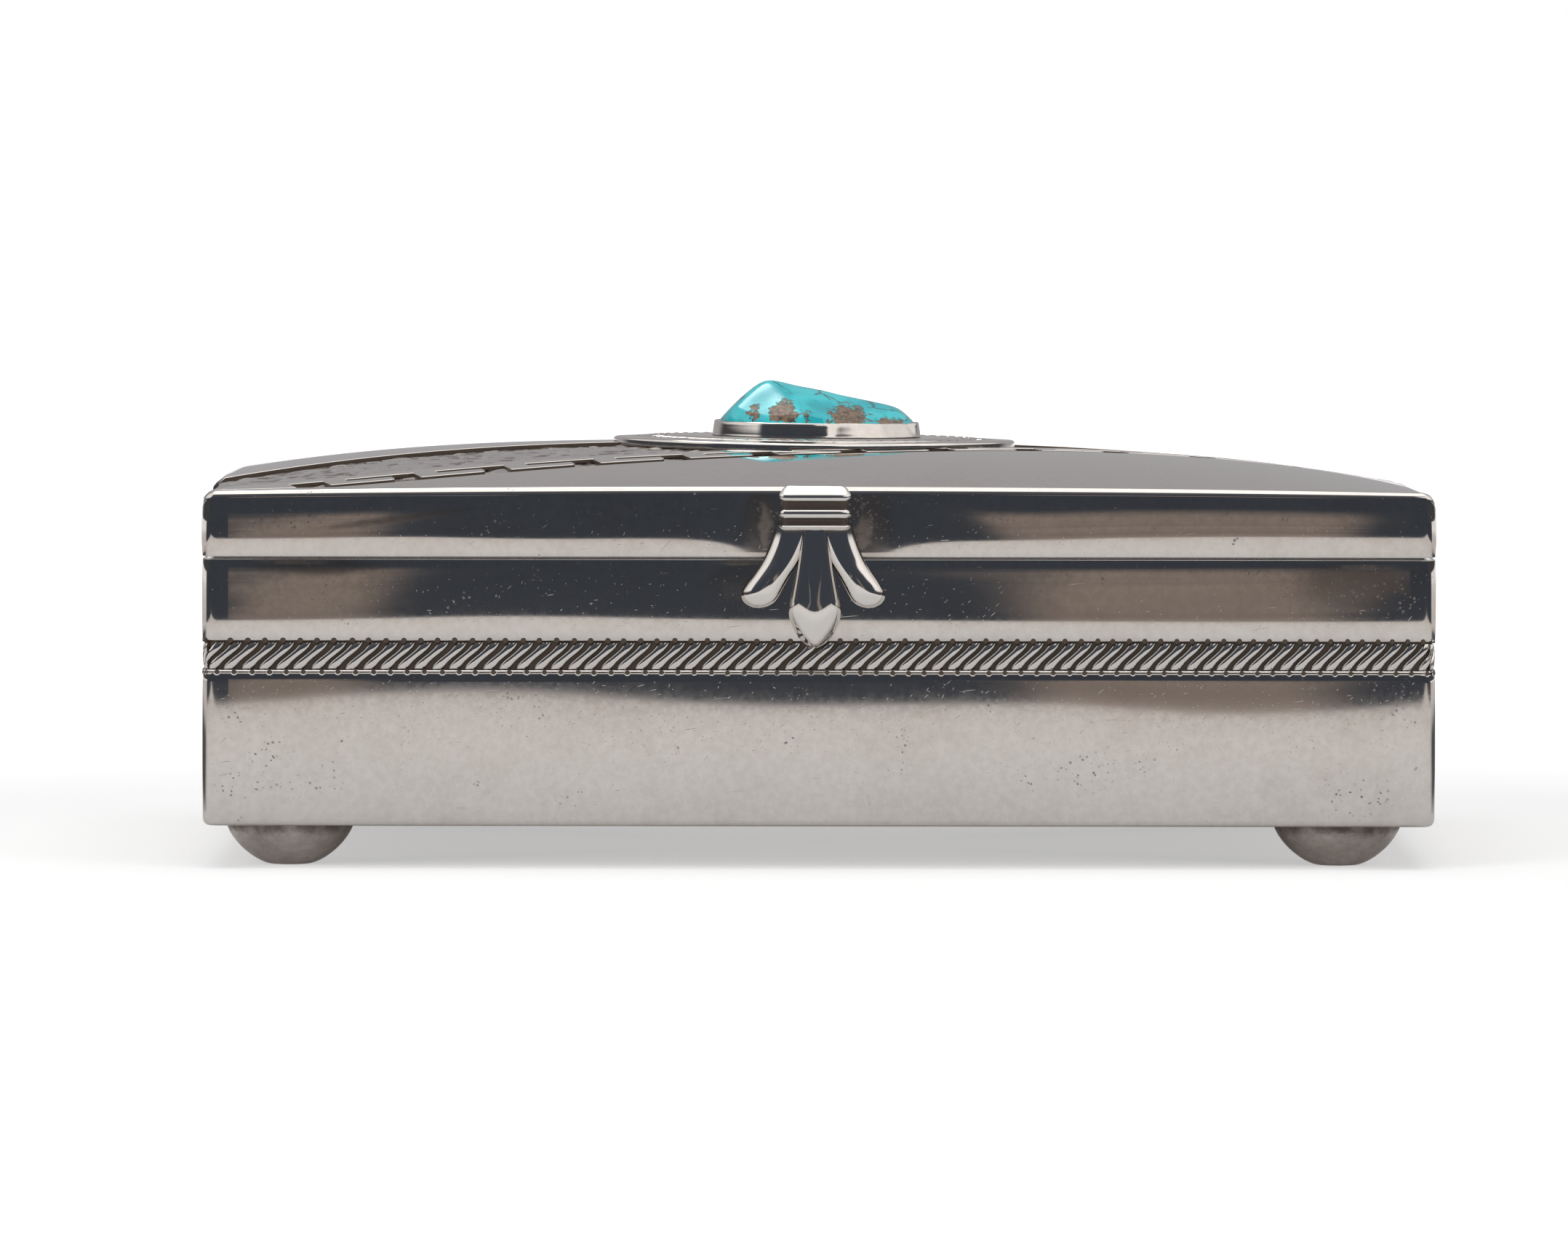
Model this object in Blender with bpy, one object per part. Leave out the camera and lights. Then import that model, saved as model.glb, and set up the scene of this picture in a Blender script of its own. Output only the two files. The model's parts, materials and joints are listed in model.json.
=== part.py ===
"""Silver keepsake box: a hinged, domed lid with a turquoise set in a medallion.

Metres, +Z up. The box stands on z = 0 on its four feet and its front faces -Y. The origin is
under the middle of the whole object.
"""

import math

import bmesh
import bpy
from mathutils import Vector

MM = 0.001

# Case: one bent strip whose faces swell a little between their edges.
CASE_WIDTH = 152 * MM
CASE_DEPTH = 98 * MM
CORNER_RADIUS = 1.8 * MM
INNER_CORNER_RADIUS = 0.6 * MM
WALL = 1.3 * MM
WALL_SWELL = 0.15 * MM
EDGE_ROUND = 0.3 * MM
FOOT_EDGE_ROUND = 0.9 * MM
LOWER_BAND_HEIGHT = 19.0 * MM
UPPER_BAND_HEIGHT = 10.1 * MM
BASE_THICKNESS = 1.2 * MM

# Soldered pieces lie this far apart.
SEAM = 0.2 * MM

# A rounded edge has its middle point this share of the way in.
EASE_SHARE = 0.7

# Rope border: stamped strips let into a recess round the case.
ROPE_HEIGHT = 3.85 * MM
ROPE_RECESS = 0.85 * MM
ROPE_VALLEY = 0.35 * MM
ROPE_PROUD = 0.05 * MM
ROPE_PITCH = 2.0 * MM
ROPE_SLANT = 2.4 * MM
ROPE_CORNER_RECESS = 0.4 * MM
ROPE_END_MARGIN = 0.4 * MM

# Inner lip: a strip inside the case that the lid drops over.
LIP_WALL = 0.9 * MM
LIP_RISE = 2.6 * MM
LIP_SEAT = 7.0 * MM
LIP_CLEARANCE = 0.4 * MM

# Feet: low buttons under the four corners.
FOOT_HEIGHT = 5.3 * MM
FOOT_RADIUS = 7.95 * MM
FOOT_PAD_RADIUS = 2.4 * MM
FOOT_INSET = 11.0 * MM
FOOT_SHIFT = -0.6 * MM
FOOT_PROFILE_POWER = 1.5

# Lid: a bent strip carries a domed plate, and both carry the cut-out sheet.
LID_GAP = 0.3 * MM
LID_CORNER_HEIGHT = 8.0 * MM
PLATE_THICKNESS = 1.0 * MM
SHEET_THICKNESS = 0.45 * MM
SHEET_EDGE_ROUND = 0.35 * MM
CROWN = 4.4 * MM
CROWN_WIDTH_POWER = 3.2
CROWN_DEPTH_POWER = 2.4
FRONT_ARCH = 0.5 * MM
BACK_FALL = 1.1 * MM
LEAN = 0.9 * MM
LEAN_DEPTH_POWER = 3

# Sash: the sunk band that crosses the lid, with a running fret along its front border. The fret's
# strip leaves the lid's left edge just behind the front corner.
SASH_TILT = math.radians(19)
SASH_WIDTH = 28.1 * MM
SASH_CORNER_MARGIN = 2.3 * MM
FRET_PITCH = 11.7 * MM
FRET_CHANNEL = 1.9 * MM
FRET_FINGER = 2.0 * MM
FRET_SLOT = 1.4 * MM
FRET_STRIP = 2.3 * MM
FRET_STEM = 2.8 * MM
FRET_MOUTH = 3.2 * MM
FRET_TIP_ROUND = 0.8 * MM
FRET_SHIFT = -1.4 * MM

# Medallion: an oval plate on the crown, its border marked off by two engraved lines.
ORNAMENT_SHIFT = -0.5 * MM
MEDALLION_HALF_WIDTH = 25.5 * MM
MEDALLION_HALF_DEPTH = 19.5 * MM
MEDALLION_RISE = 0.7 * MM
MEDALLION_RIM = 0.35 * MM
MEDALLION_BEVEL = 2.6 * MM
MEDALLION_BORDER = 3.4 * MM
MEDALLION_UNDERSIDE_SHARES = (0.1, 0.5)
ENGRAVED_LINE_WIDTH = 0.5 * MM
ENGRAVED_LINE_DEPTH = 0.2 * MM

# Turquoise: a free-form stone, highest left of its middle, in a plain bezel.
STONE_SHIFT = -0.2 * MM
STONE_HALF_WIDTH = 12.4 * MM
STONE_HALF_DEPTH = 9.8 * MM
STONE_TAPER_SHARE = 0.12
STONE_GIRDLE = 1.4 * MM
STONE_PEAK_HEIGHT = 6.6 * MM
STONE_PEAK_SIDE = 6.3 * MM
STONE_PEAK_FRONT = 1.0 * MM
STONE_FACETS = ((180, 0.78), (0, 0.21), (-110, 0.66), (-55, 0.46), (75, 0.5), (130, 0.62))
STONE_RING_SHARES = (0.97, 0.85, 0.68, 0.5, 0.3, 0.12)
BEZEL_WALL = 0.6 * MM
BEZEL_FLOOR = 0.4 * MM
BEZEL_HEIGHT = 1.9 * MM
BEZEL_CLEARANCE = 0.15 * MM

# Thumb piece: a beaded neck and three leaves that hang over the front of the case.
THUMB_THICKNESS = 2.65 * MM
THUMB_NECK_WIDTH = 8.8 * MM
THUMB_NECK_HEIGHT = 5.0 * MM
THUMB_GROOVE_DEPTH = 0.7 * MM
THUMB_MIDDLE_DROP = 15.2 * MM
THUMB_MIDDLE_WIDTH = 6.4 * MM
THUMB_SIDE_DROP = 8.9 * MM
THUMB_SIDE_SPREAD = 7.5 * MM
THUMB_SIDE_BOW = 0.35 * MM
THUMB_SIDE_WIDTH = 4.5 * MM
THUMB_SIDE_START = 2.95 * MM
THUMB_EDGE_SHARE = 0.25
THUMB_THIN_SHARE = 0.5
# Down the neck: the share of its height, and how far that place stands out of the grooves.
THUMB_NECK_SHARES = (
    (0, 0.3),
    (0.1, 1.0),
    (0.3, 0.9),
    (0.38, 0.0),
    (0.54, 0.0),
    (0.58, 0.9),
    (0.76, 0.9),
    (0.8, 0.0),
    (0.96, 0.0),
    (1.0, 1.0),
)
# Along a leaf, in even steps: the share of its full width.
THUMB_MIDDLE_WIDTH_SHARES = (0.44, 0.53, 0.63, 0.74, 0.85, 0.96, 1.0, 0.8, 0.24)
THUMB_SIDE_WIDTH_SHARES = (0.66, 0.63, 0.61, 0.63, 0.7, 0.82, 0.96, 1.0, 0.78)

# Hinge: knuckles on one pin between two bearers, whose bevels stop the open lid.
KNUCKLE_RADIUS = 1.3 * MM
KNUCKLE_BORE = 0.78 * MM
KNUCKLE_LENGTH = 16 * MM
KNUCKLE_GAP = 0.3 * MM
KNUCKLE_COUNT = 5
PIN_CLEARANCE = 0.06 * MM
PIN_HEAD_RADIUS = 1.1 * MM
PIN_HEAD_LENGTH = 0.6 * MM
HINGE_CLEARANCE = 0.25 * MM
BEARER_HEIGHT = 4.0 * MM
STOP_HALF_ANGLE = math.radians(51)

# Cuts run this far past what they cut.
OVERRUN = 4 * MM

# Steps of the round shapes.
CORNER_STEPS = 3
FRONT_STEPS = 14
SIDE_STEPS = 8
ROUND_STEPS = 24
OVAL_STEPS = 36
FOOT_STEPS = 7
LEAF_STEPS = 8
TIP_STEPS = 3
PLATE_RING_SHARES = (1.0, 0.92, 0.8, 0.65, 0.48, 0.3, 0.12)

# Colours as red, green, blue, then roughness and metallic.
FINISHES = {
    "polished_silver": ((0.80, 0.79, 0.77), 0.12, 1.0),
    "satin_silver": ((0.60, 0.58, 0.56), 0.32, 1.0),
    "oxidised_silver": ((0.20, 0.18, 0.17), 0.45, 1.0),
    "turquoise": ((0.05, 0.52, 0.56), 0.15, 0.0),
}

# Heights and places that follow from the sizes above.
ROPE_BOTTOM = FOOT_HEIGHT + LOWER_BAND_HEIGHT
ROPE_TOP = ROPE_BOTTOM + ROPE_HEIGHT
CASE_TOP = ROPE_TOP + UPPER_BAND_HEIGHT
LID_BOTTOM = CASE_TOP + LID_GAP
LID_CORNER = LID_BOTTOM + LID_CORNER_HEIGHT
LID_WALL = WALL + SEAM - LIP_CLEARANCE
KNUCKLE_CLEAR = KNUCKLE_RADIUS + HINGE_CLEARANCE
HINGE_OFFSET = KNUCKLE_CLEAR + WALL_SWELL
HINGE_Y = CASE_DEPTH / 2 + HINGE_OFFSET
HINGE_Z = CASE_TOP + LID_GAP / 2
THUMB_BACK = CASE_DEPTH / 2 + WALL_SWELL + SEAM
FRET_REACH = FRET_CHANNEL + FRET_FINGER + FRET_SLOT
STRIP_RUN = (CASE_DEPTH / 2 - SASH_CORNER_MARGIN) * math.cos(SASH_TILT)
SASH_NEAR_DISTANCE = FRET_REACH + STRIP_RUN - CASE_WIDTH / 2 * math.sin(SASH_TILT)
SASH_FAR_DISTANCE = SASH_WIDTH - SASH_NEAR_DISTANCE
BACK_REACH = HINGE_OFFSET + KNUCKLE_RADIUS
FRONT_REACH = WALL_SWELL + SEAM + THUMB_THICKNESS
CASE_SHIFT = (FRONT_REACH - BACK_REACH) / 2


def clear_scene():
    """Empty the scene of every object."""
    for obj in list(bpy.data.objects):
        bpy.data.objects.remove(obj)


def finish_material(name):
    """The Principled material of that finish, made once."""
    material = bpy.data.materials.get(name)
    if material:
        return material
    colour, roughness, metallic = FINISHES[name]
    material = bpy.data.materials.new(name)
    material.use_nodes = True
    shader = material.node_tree.nodes["Principled BSDF"]
    shader.inputs["Base Color"].default_value = (*colour, 1)
    shader.inputs["Roughness"].default_value = roughness
    shader.inputs["Metallic"].default_value = metallic
    return material


def add_group(name, place):
    """An empty that carries the pieces of one group."""
    empty = bpy.data.objects.new(name, None)
    empty.location = place
    bpy.context.scene.collection.objects.link(empty)
    return empty


def add_piece(name, mesh, finish, group, origin=(0, 0, 0)):
    """An object of that mesh in the group. The mesh's own zero lies at origin minus the group's pivot."""
    mesh.materials.clear()
    mesh.materials.append(finish_material(finish))
    piece = bpy.data.objects.new(name, mesh)
    bpy.context.scene.collection.objects.link(piece)
    piece.parent = group
    piece.location = Vector(origin) - Vector(group.get("pivot", (0, 0, 0)))
    return piece


def closed_mesh(name, build):
    """A mesh that build(bm) fills, with its faces turned outwards and its round faces smooth."""
    bm = bmesh.new()
    build(bm)
    bmesh.ops.recalc_face_normals(bm, faces=bm.faces)
    mesh = bpy.data.meshes.new(name)
    bm.to_mesh(mesh)
    bm.free()
    mesh.shade_smooth()
    mesh.set_sharp_from_angle(angle=math.radians(30))
    return mesh


def skin_rings(bm, rings, closed=False, fan=False):
    """Join equal rings of points with quads, and cap both ends or join the last to the first.

    A fan cap meets in a middle point, so that a cap that isn't flat still cuts cleanly.
    """
    made = [[bm.verts.new(point) for point in ring] for ring in rings]
    pairs = list(zip(made, made[1:]))
    if closed:
        pairs.append((made[-1], made[0]))
    count = len(made[0])
    for low, high in pairs:
        for i in range(count):
            j = (i + 1) % count
            bm.faces.new((low[i], low[j], high[j], high[i]))
    if not closed:
        caps = [bm.faces.new(made[0]), bm.faces.new(made[-1])]
        if fan:
            bmesh.ops.poke(bm, faces=caps)


def ring_solid(name, rings, closed=False, fan=False):
    """A closed mesh through those rings of points."""
    return closed_mesh(name, lambda bm: skin_rings(bm, rings, closed, fan))


def prism(name, outline, bottom, top):
    """An upright prism over an outline of (x, y) points."""
    return ring_solid(name, [[(x, y, z) for x, y in outline] for z in (bottom, top)])


def cut(piece, cutter, operation):
    """Give the piece a Boolean with the cutter, which stays out of the model."""
    modifier = piece.modifiers.new(operation.lower(), "BOOLEAN")
    modifier.operation = operation
    modifier.solver = "EXACT"
    modifier.object = cutter
    cutter.hide_render = True
    cutter.display_type = "WIRE"


def corner_arcs(inset):
    """The four round corners of the case at that inset, anticlockwise from the front left."""
    radius = max(CORNER_RADIUS - inset, INNER_CORNER_RADIUS)
    reach = Vector((CASE_WIDTH / 2 - inset - radius, CASE_DEPTH / 2 - inset - radius))
    arcs = []
    for quarter, (sx, sy) in enumerate(((-1, -1), (1, -1), (1, 1), (-1, 1))):
        centre = Vector((sx * reach.x, sy * reach.y))
        turns = [math.pi / 2 * (2 + quarter + i / CORNER_STEPS) for i in range(CORNER_STEPS + 1)]
        arcs.append([centre + radius * Vector((math.cos(t), math.sin(t))) for t in turns])
    return arcs


def case_outline(inset, corner_inset=None):
    """Points round the case at that inset, with its corners at another inset if one is given."""
    arcs = corner_arcs(inset)
    corners = arcs if corner_inset is None else corner_arcs(corner_inset)
    points = []
    for quarter, corner in enumerate(corners):
        start, end = arcs[quarter][-1], arcs[(quarter + 1) % 4][0]
        margin = ROPE_END_MARGIN / (end - start).length
        steps = SIDE_STEPS if quarter % 2 else FRONT_STEPS
        shares = [margin + (1 - 2 * margin) * i / steps for i in range(steps + 1)]
        points += corner + [start.lerp(end, share) for share in shares]
    return points


def case_ring(inset, height, share=1.0, corner_inset=None):
    """Points round the case at that inset, drawn in by that share, at height(x, y)."""
    scaled = [point * share for point in case_outline(inset, corner_inset)]
    return [(point.x, point.y, height(point.x, point.y)) for point in scaled]


def level(height):
    """A flat height, as a function of the place on the case."""
    return lambda x, y: height


def lid_skin(x, y):
    """Height of the lid's outer skin: a crown, a fall to the back, and a lean that grows with depth."""
    across = min(1, abs(x) / (CASE_WIDTH / 2))
    along = min(1, abs(y) / (CASE_DEPTH / 2))
    back = min(1, max(0, 0.5 + y / CASE_DEPTH))
    arch = FRONT_ARCH * (1 - across**2) - BACK_FALL * back**2
    crown = CROWN * (1 - across**CROWN_WIDTH_POWER) * (1 - along**CROWN_DEPTH_POWER)
    lean = LEAN * x / (CASE_WIDTH / 2) * (1 - (1 - back) ** LEAN_DEPTH_POWER)
    return LID_CORNER + arch + crown - lean


def below_skin(depth):
    """The lid's skin lowered by that depth, as a function of the place."""
    return lambda x, y: lid_skin(x, y) - depth


def lathe(name, profile, steps=ROUND_STEPS):
    """A solid of revolution about Z from (radius, height) points, with both ends capped."""
    turns = [2 * math.pi * i / steps for i in range(steps)]
    rings = [[(r * math.cos(t), r * math.sin(t), z) for t in turns] for r, z in profile]
    return ring_solid(name, rings)


def tube_along_x(name, length, radius, bore):
    """A tube centred on the origin, along X."""
    turns = [2 * math.pi * i / ROUND_STEPS for i in range(ROUND_STEPS)]
    stations = ((-length / 2, bore), (-length / 2, radius), (length / 2, radius), (length / 2, bore))
    rings = [[(x, r * math.cos(t), r * math.sin(t)) for t in turns] for x, r in stations]
    return ring_solid(name, rings, closed=True)


def add_case(case):
    """The bent strip of the case, its base and the inner lip."""
    lower_band = [
        (FOOT_EDGE_ROUND, FOOT_HEIGHT),
        (FOOT_EDGE_ROUND * (1 - EASE_SHARE), FOOT_HEIGHT + FOOT_EDGE_ROUND * (1 - EASE_SHARE)),
        (0, FOOT_HEIGHT + FOOT_EDGE_ROUND),
        (-WALL_SWELL, FOOT_HEIGHT + LOWER_BAND_HEIGHT / 2),
        (0, ROPE_BOTTOM - EDGE_ROUND),
        (EDGE_ROUND, ROPE_BOTTOM),
    ]
    upper_band = [
        (EDGE_ROUND, ROPE_TOP),
        (0, ROPE_TOP + EDGE_ROUND),
        (-WALL_SWELL, ROPE_TOP + UPPER_BAND_HEIGHT / 2),
        (0, CASE_TOP - EDGE_ROUND),
        (EDGE_ROUND, CASE_TOP),
        (WALL, CASE_TOP),
        (WALL, FOOT_HEIGHT),
    ]
    rings = [case_ring(inset, level(height)) for inset, height in lower_band]
    rings += [
        case_ring(ROPE_RECESS, level(height), corner_inset=ROPE_CORNER_RECESS)
        for height in (ROPE_BOTTOM, ROPE_TOP)
    ]
    rings += [case_ring(inset, level(height)) for inset, height in upper_band]
    add_piece("case_wall", ring_solid("case_wall", rings, closed=True), "polished_silver", case)

    inner = WALL + SEAM
    heights = (FOOT_HEIGHT, FOOT_HEIGHT + BASE_THICKNESS)
    rings = [case_ring(inner, level(height)) for height in heights]
    add_piece("base_plate", ring_solid("base_plate", rings), "satin_silver", case)

    low, high = CASE_TOP - LIP_SEAT, CASE_TOP + LIP_RISE
    stations = [
        (inner, low),
        (inner, high - EDGE_ROUND),
        (inner + EDGE_ROUND, high),
        (inner + LIP_WALL, high),
        (inner + LIP_WALL, low),
    ]
    rings = [case_ring(inset, level(height)) for inset, height in stations]
    add_piece("inner_lip", ring_solid("inner_lip", rings, closed=True), "satin_silver", case)


def rope_strip(name, length):
    """A strip of slanting strands along X whose outer side faces -Y, on y = 0 at the case's face."""
    strands = round(length / ROPE_PITCH)
    step = length / strands
    half_height = ROPE_HEIGHT / 2 - SEAM
    back = ROPE_RECESS - SEAM
    shoulder = half_height - ROPE_VALLEY
    rings = []
    for i in range(2 * strands + 1):
        crest = i % 2 == 1
        face = -ROPE_PROUD if crest else ROPE_VALLEY
        edge = ROPE_VALLEY if crest else ROPE_VALLEY + ROPE_PROUD
        x = -length / 2 + i * step / 2
        column = (
            (back, -half_height),
            (edge, -half_height),
            (face, -shoulder),
            (face, shoulder),
            (edge, half_height),
            (back, half_height),
        )
        rings.append([(x + z / ROPE_HEIGHT * ROPE_SLANT, y, z) for y, z in column])
    return ring_solid(name, rings)


def add_rope_border(case):
    """The four stamped strips in the recess of the case."""
    margin = CORNER_RADIUS + ROPE_END_MARGIN + SEAM + ROPE_SLANT / 2
    sides = {
        "front": (CASE_WIDTH, CASE_DEPTH, 0),
        "right": (CASE_DEPTH, CASE_WIDTH, 1),
        "back": (CASE_WIDTH, CASE_DEPTH, 2),
        "left": (CASE_DEPTH, CASE_WIDTH, 3),
    }
    for side, (along, across, quarter) in sides.items():
        name = f"rope_border_{side}"
        turn = quarter * math.pi / 2
        place = (across / 2 * math.sin(turn), -across / 2 * math.cos(turn), ROPE_BOTTOM + ROPE_HEIGHT / 2)
        strip = add_piece(name, rope_strip(name, along - 2 * margin), "polished_silver", case, place)
        strip.rotation_euler.z = turn


def add_feet(case):
    """Four low buttons, flat where they stand."""
    profile = [(FOOT_PAD_RADIUS, 0)]
    for i in range(1, FOOT_STEPS + 1):
        height_share = (i / FOOT_STEPS) ** 2
        width_share = (1 - (1 - height_share) ** FOOT_PROFILE_POWER) ** (1 / FOOT_PROFILE_POWER)
        radius = FOOT_PAD_RADIUS + (FOOT_RADIUS - FOOT_PAD_RADIUS) * width_share
        profile.append((radius, (FOOT_HEIGHT - SEAM) * height_share))
    mesh = lathe("foot", profile)
    x, y = CASE_WIDTH / 2 - FOOT_INSET, CASE_DEPTH / 2 - FOOT_INSET
    for end, sy in (("front", -1), ("back", 1)):
        for side, sx in (("left", -1), ("right", 1)):
            place = (FOOT_SHIFT + sx * x, sy * y, 0)
            add_piece(f"foot_{end}_{side}", mesh, "satin_silver", case, place)


def add_lid_body(lid):
    """The bent strip of the lid and the domed plate set into it."""
    under_sheet = SHEET_THICKNESS + SEAM
    middle = LID_BOTTOM + LID_CORNER_HEIGHT / 2
    stations = [
        (EDGE_ROUND, level(LID_BOTTOM)),
        (0, level(LID_BOTTOM + EDGE_ROUND)),
        (-WALL_SWELL, level(middle)),
        (0, below_skin(under_sheet)),
        (LID_WALL, below_skin(under_sheet)),
        (LID_WALL, level(LID_BOTTOM)),
    ]
    rings = [case_ring(inset, height) for inset, height in stations]
    add_piece("lid_rim", ring_solid("lid_rim", rings, closed=True), "polished_silver", lid)

    inset = LID_WALL + SEAM
    top, underside = below_skin(under_sheet), below_skin(under_sheet + PLATE_THICKNESS)
    rings = [case_ring(inset, underside, share) for share in reversed(PLATE_RING_SHARES)]
    rings += [case_ring(inset, top, share) for share in PLATE_RING_SHARES]
    add_piece("lid_plate", ring_solid("lid_plate", rings, fan=True), "oxidised_silver", lid)


def sheet_mesh(name):
    """The whole polished sheet over the lid, before it is cut out."""
    rings = [case_ring(0, below_skin(SHEET_THICKNESS), share) for share in reversed(PLATE_RING_SHARES)]
    eased = SHEET_EDGE_ROUND * (1 - EASE_SHARE)
    rings.append(case_ring(eased, below_skin(eased)))
    rings += [case_ring(SHEET_EDGE_ROUND, below_skin(0), share) for share in PLATE_RING_SHARES]
    return ring_solid(name, rings, fan=True)


def on_sash(u, v):
    """The place on the lid of a point u along the sash and v across it."""
    c, s = math.cos(SASH_TILT), math.sin(SASH_TILT)
    return (u * c - v * s, u * s + v * c)


def on_lid(u, v):
    """True where that point of the sash lies on the lid."""
    x, y = on_sash(u, v)
    return abs(x) < CASE_WIDTH / 2 and abs(y) < CASE_DEPTH / 2


def fret_outline():
    """The running fret: a strip with a row of hooks along its front, each open to the right.

    A hook whose stem would miss the lid is left out, because nothing would hold it.
    """
    strip_front = FRET_REACH - SASH_NEAR_DISTANCE
    finger_back = strip_front - FRET_SLOT
    finger_front = finger_back - FRET_FINGER
    strip_back = strip_front + FRET_STRIP
    reach = math.hypot(CASE_WIDTH, CASE_DEPTH) / 2
    first = math.floor((-reach - FRET_SHIFT) / FRET_PITCH)
    last = math.ceil((reach - FRET_SHIFT) / FRET_PITCH)
    finger = FRET_PITCH - FRET_MOUTH
    points = []
    for k in range(first, last):
        start = FRET_SHIFT + k * FRET_PITCH
        tip = start + finger
        if not (on_lid(start, strip_front) and on_lid(start + FRET_STEM, strip_front)):
            points.append((start, strip_front))
            continue
        centre = (tip - FRET_TIP_ROUND, finger_front + FRET_TIP_ROUND)
        points += [(start, strip_front), (start, finger_front)]
        for i in range(TIP_STEPS + 1):
            angle = math.pi / 2 * (i / TIP_STEPS - 1)
            points.append(
                (centre[0] + FRET_TIP_ROUND * math.cos(angle), centre[1] + FRET_TIP_ROUND * math.sin(angle))
            )
        points += [(tip, finger_back), (start + FRET_STEM, finger_back), (start + FRET_STEM, strip_front)]
    end = FRET_SHIFT + last * FRET_PITCH
    points += [(end, strip_front), (end, strip_back), (FRET_SHIFT + first * FRET_PITCH, strip_back)]
    return [on_sash(u, v) for u, v in points]


def field_outline(edge, side):
    """The part of the lid beyond a line across the sash, on the side that side points to."""
    reach = math.hypot(CASE_WIDTH, CASE_DEPTH)
    corners = ((-reach, edge), (reach, edge), (reach, edge + side * reach), (-reach, edge + side * reach))
    return [on_sash(u, v) for u, v in corners]


def add_cut_sheet(lid):
    """The polished sheet, cut out into two fields and the fret between them."""
    outlines = {
        "near_field": field_outline(-SASH_NEAR_DISTANCE, -1),
        "fret_strip": fret_outline(),
        "far_field": field_outline(SASH_FAR_DISTANCE, 1),
    }
    for name, outline in outlines.items():
        sheet = add_piece(name, sheet_mesh(name), "polished_silver", lid)
        bottom, top = LID_BOTTOM - OVERRUN, LID_CORNER + CROWN + FRONT_ARCH + LEAN + OVERRUN
        guide = prism(f"{name}_guide", outline, bottom, top)
        cut(sheet, add_piece(f"{name}_guide", guide, "polished_silver", lid), "INTERSECT")


def oval(offset):
    """Points round the medallion, drawn in by that offset."""
    turns = [2 * math.pi * i / OVAL_STEPS for i in range(OVAL_STEPS)]
    width, depth = MEDALLION_HALF_WIDTH - offset, MEDALLION_HALF_DEPTH - offset
    return [(ORNAMENT_SHIFT + width * math.cos(t), depth * math.sin(t)) for t in turns]


def medallion_seat(x, y):
    """Height of the medallion's flat top, which leans as the lid does."""
    return lid_skin(ORNAMENT_SHIFT, 0) + MEDALLION_RISE - LEAN * (x - ORNAMENT_SHIFT) / (CASE_WIDTH / 2)


def add_medallion(lid):
    """The oval plate on the crown: it follows the lid below and is flat on top."""
    groove = ENGRAVED_LINE_DEPTH

    def above(height):
        return lambda x, y: lid_skin(x, y) + height

    def seat(drop):
        return lambda x, y: medallion_seat(x, y) - drop

    inner_line = MEDALLION_BEVEL + MEDALLION_BORDER
    stations = [
        *((MEDALLION_HALF_DEPTH * (1 - share), above(SEAM)) for share in MEDALLION_UNDERSIDE_SHARES),
        (0, above(SEAM)),
        (0, above(SEAM + MEDALLION_RIM)),
        (MEDALLION_BEVEL, seat(groove)),
    ]
    for offset in (MEDALLION_BEVEL, inner_line):
        stations += [
            (offset + ENGRAVED_LINE_WIDTH / 2, seat(0)),
            (offset + ENGRAVED_LINE_WIDTH, seat(groove)),
            (offset + ENGRAVED_LINE_WIDTH * 1.5, seat(0)),
        ]
    rings = [[(x, y, height(x, y)) for x, y in oval(offset)] for offset, height in stations]
    add_piece("medallion", ring_solid("medallion", rings), "polished_silver", lid)


def stone_outline(offset, share=1.0):
    """Points round the stone, widened by offset: an oval that narrows to the right."""
    turns = [2 * math.pi * i / OVAL_STEPS for i in range(OVAL_STEPS)]
    width, depth = STONE_HALF_WIDTH + offset, STONE_HALF_DEPTH + offset
    points = []
    for t in turns:
        taper = 1 - STONE_TAPER_SHARE * math.cos(t)
        points.append((STONE_SHIFT + share * width * math.cos(t), share * depth * math.sin(t) * taper))
    return points


def stone_height(x, y):
    """Height of the stone over its base: facets that fall away from one peak."""
    dx, dy = x - STONE_SHIFT + STONE_PEAK_SIDE, y + STONE_PEAK_FRONT
    falls = []
    for degrees, slope in STONE_FACETS:
        angle = math.radians(degrees)
        falls.append(slope * (dx * math.cos(angle) + dy * math.sin(angle)))
    return max(STONE_GIRDLE, STONE_PEAK_HEIGHT - max(falls))


def add_stone(lid):
    """The bezel cup on the medallion and the turquoise in it."""
    outer, inner = BEZEL_CLEARANCE + BEZEL_WALL, BEZEL_CLEARANCE

    def seat(rise):
        return lambda x, y: medallion_seat(x, y) + SEAM + rise

    stations = [
        (outer, seat(0)),
        (outer, seat(BEZEL_HEIGHT - EDGE_ROUND)),
        ((outer + inner) / 2, seat(BEZEL_HEIGHT)),
        (inner, seat(BEZEL_HEIGHT - EDGE_ROUND)),
        (inner, seat(BEZEL_FLOOR)),
    ]
    rings = [[(x, y, height(x, y)) for x, y in stone_outline(offset)] for offset, height in stations]
    add_piece("bezel_cup", ring_solid("bezel_cup", rings), "polished_silver", lid)

    base = BEZEL_FLOOR + SEAM
    rings = [[(x, y, seat(base)(x, y)) for x, y in stone_outline(0)]]
    rings.append([(x, y, seat(base + STONE_GIRDLE)(x, y)) for x, y in stone_outline(0)])
    for share in STONE_RING_SHARES:
        rings.append([(x, y, seat(base + stone_height(x, y))(x, y)) for x, y in stone_outline(0, share)])
    add_piece("turquoise", ring_solid("turquoise", rings), "turquoise", lid)


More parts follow.
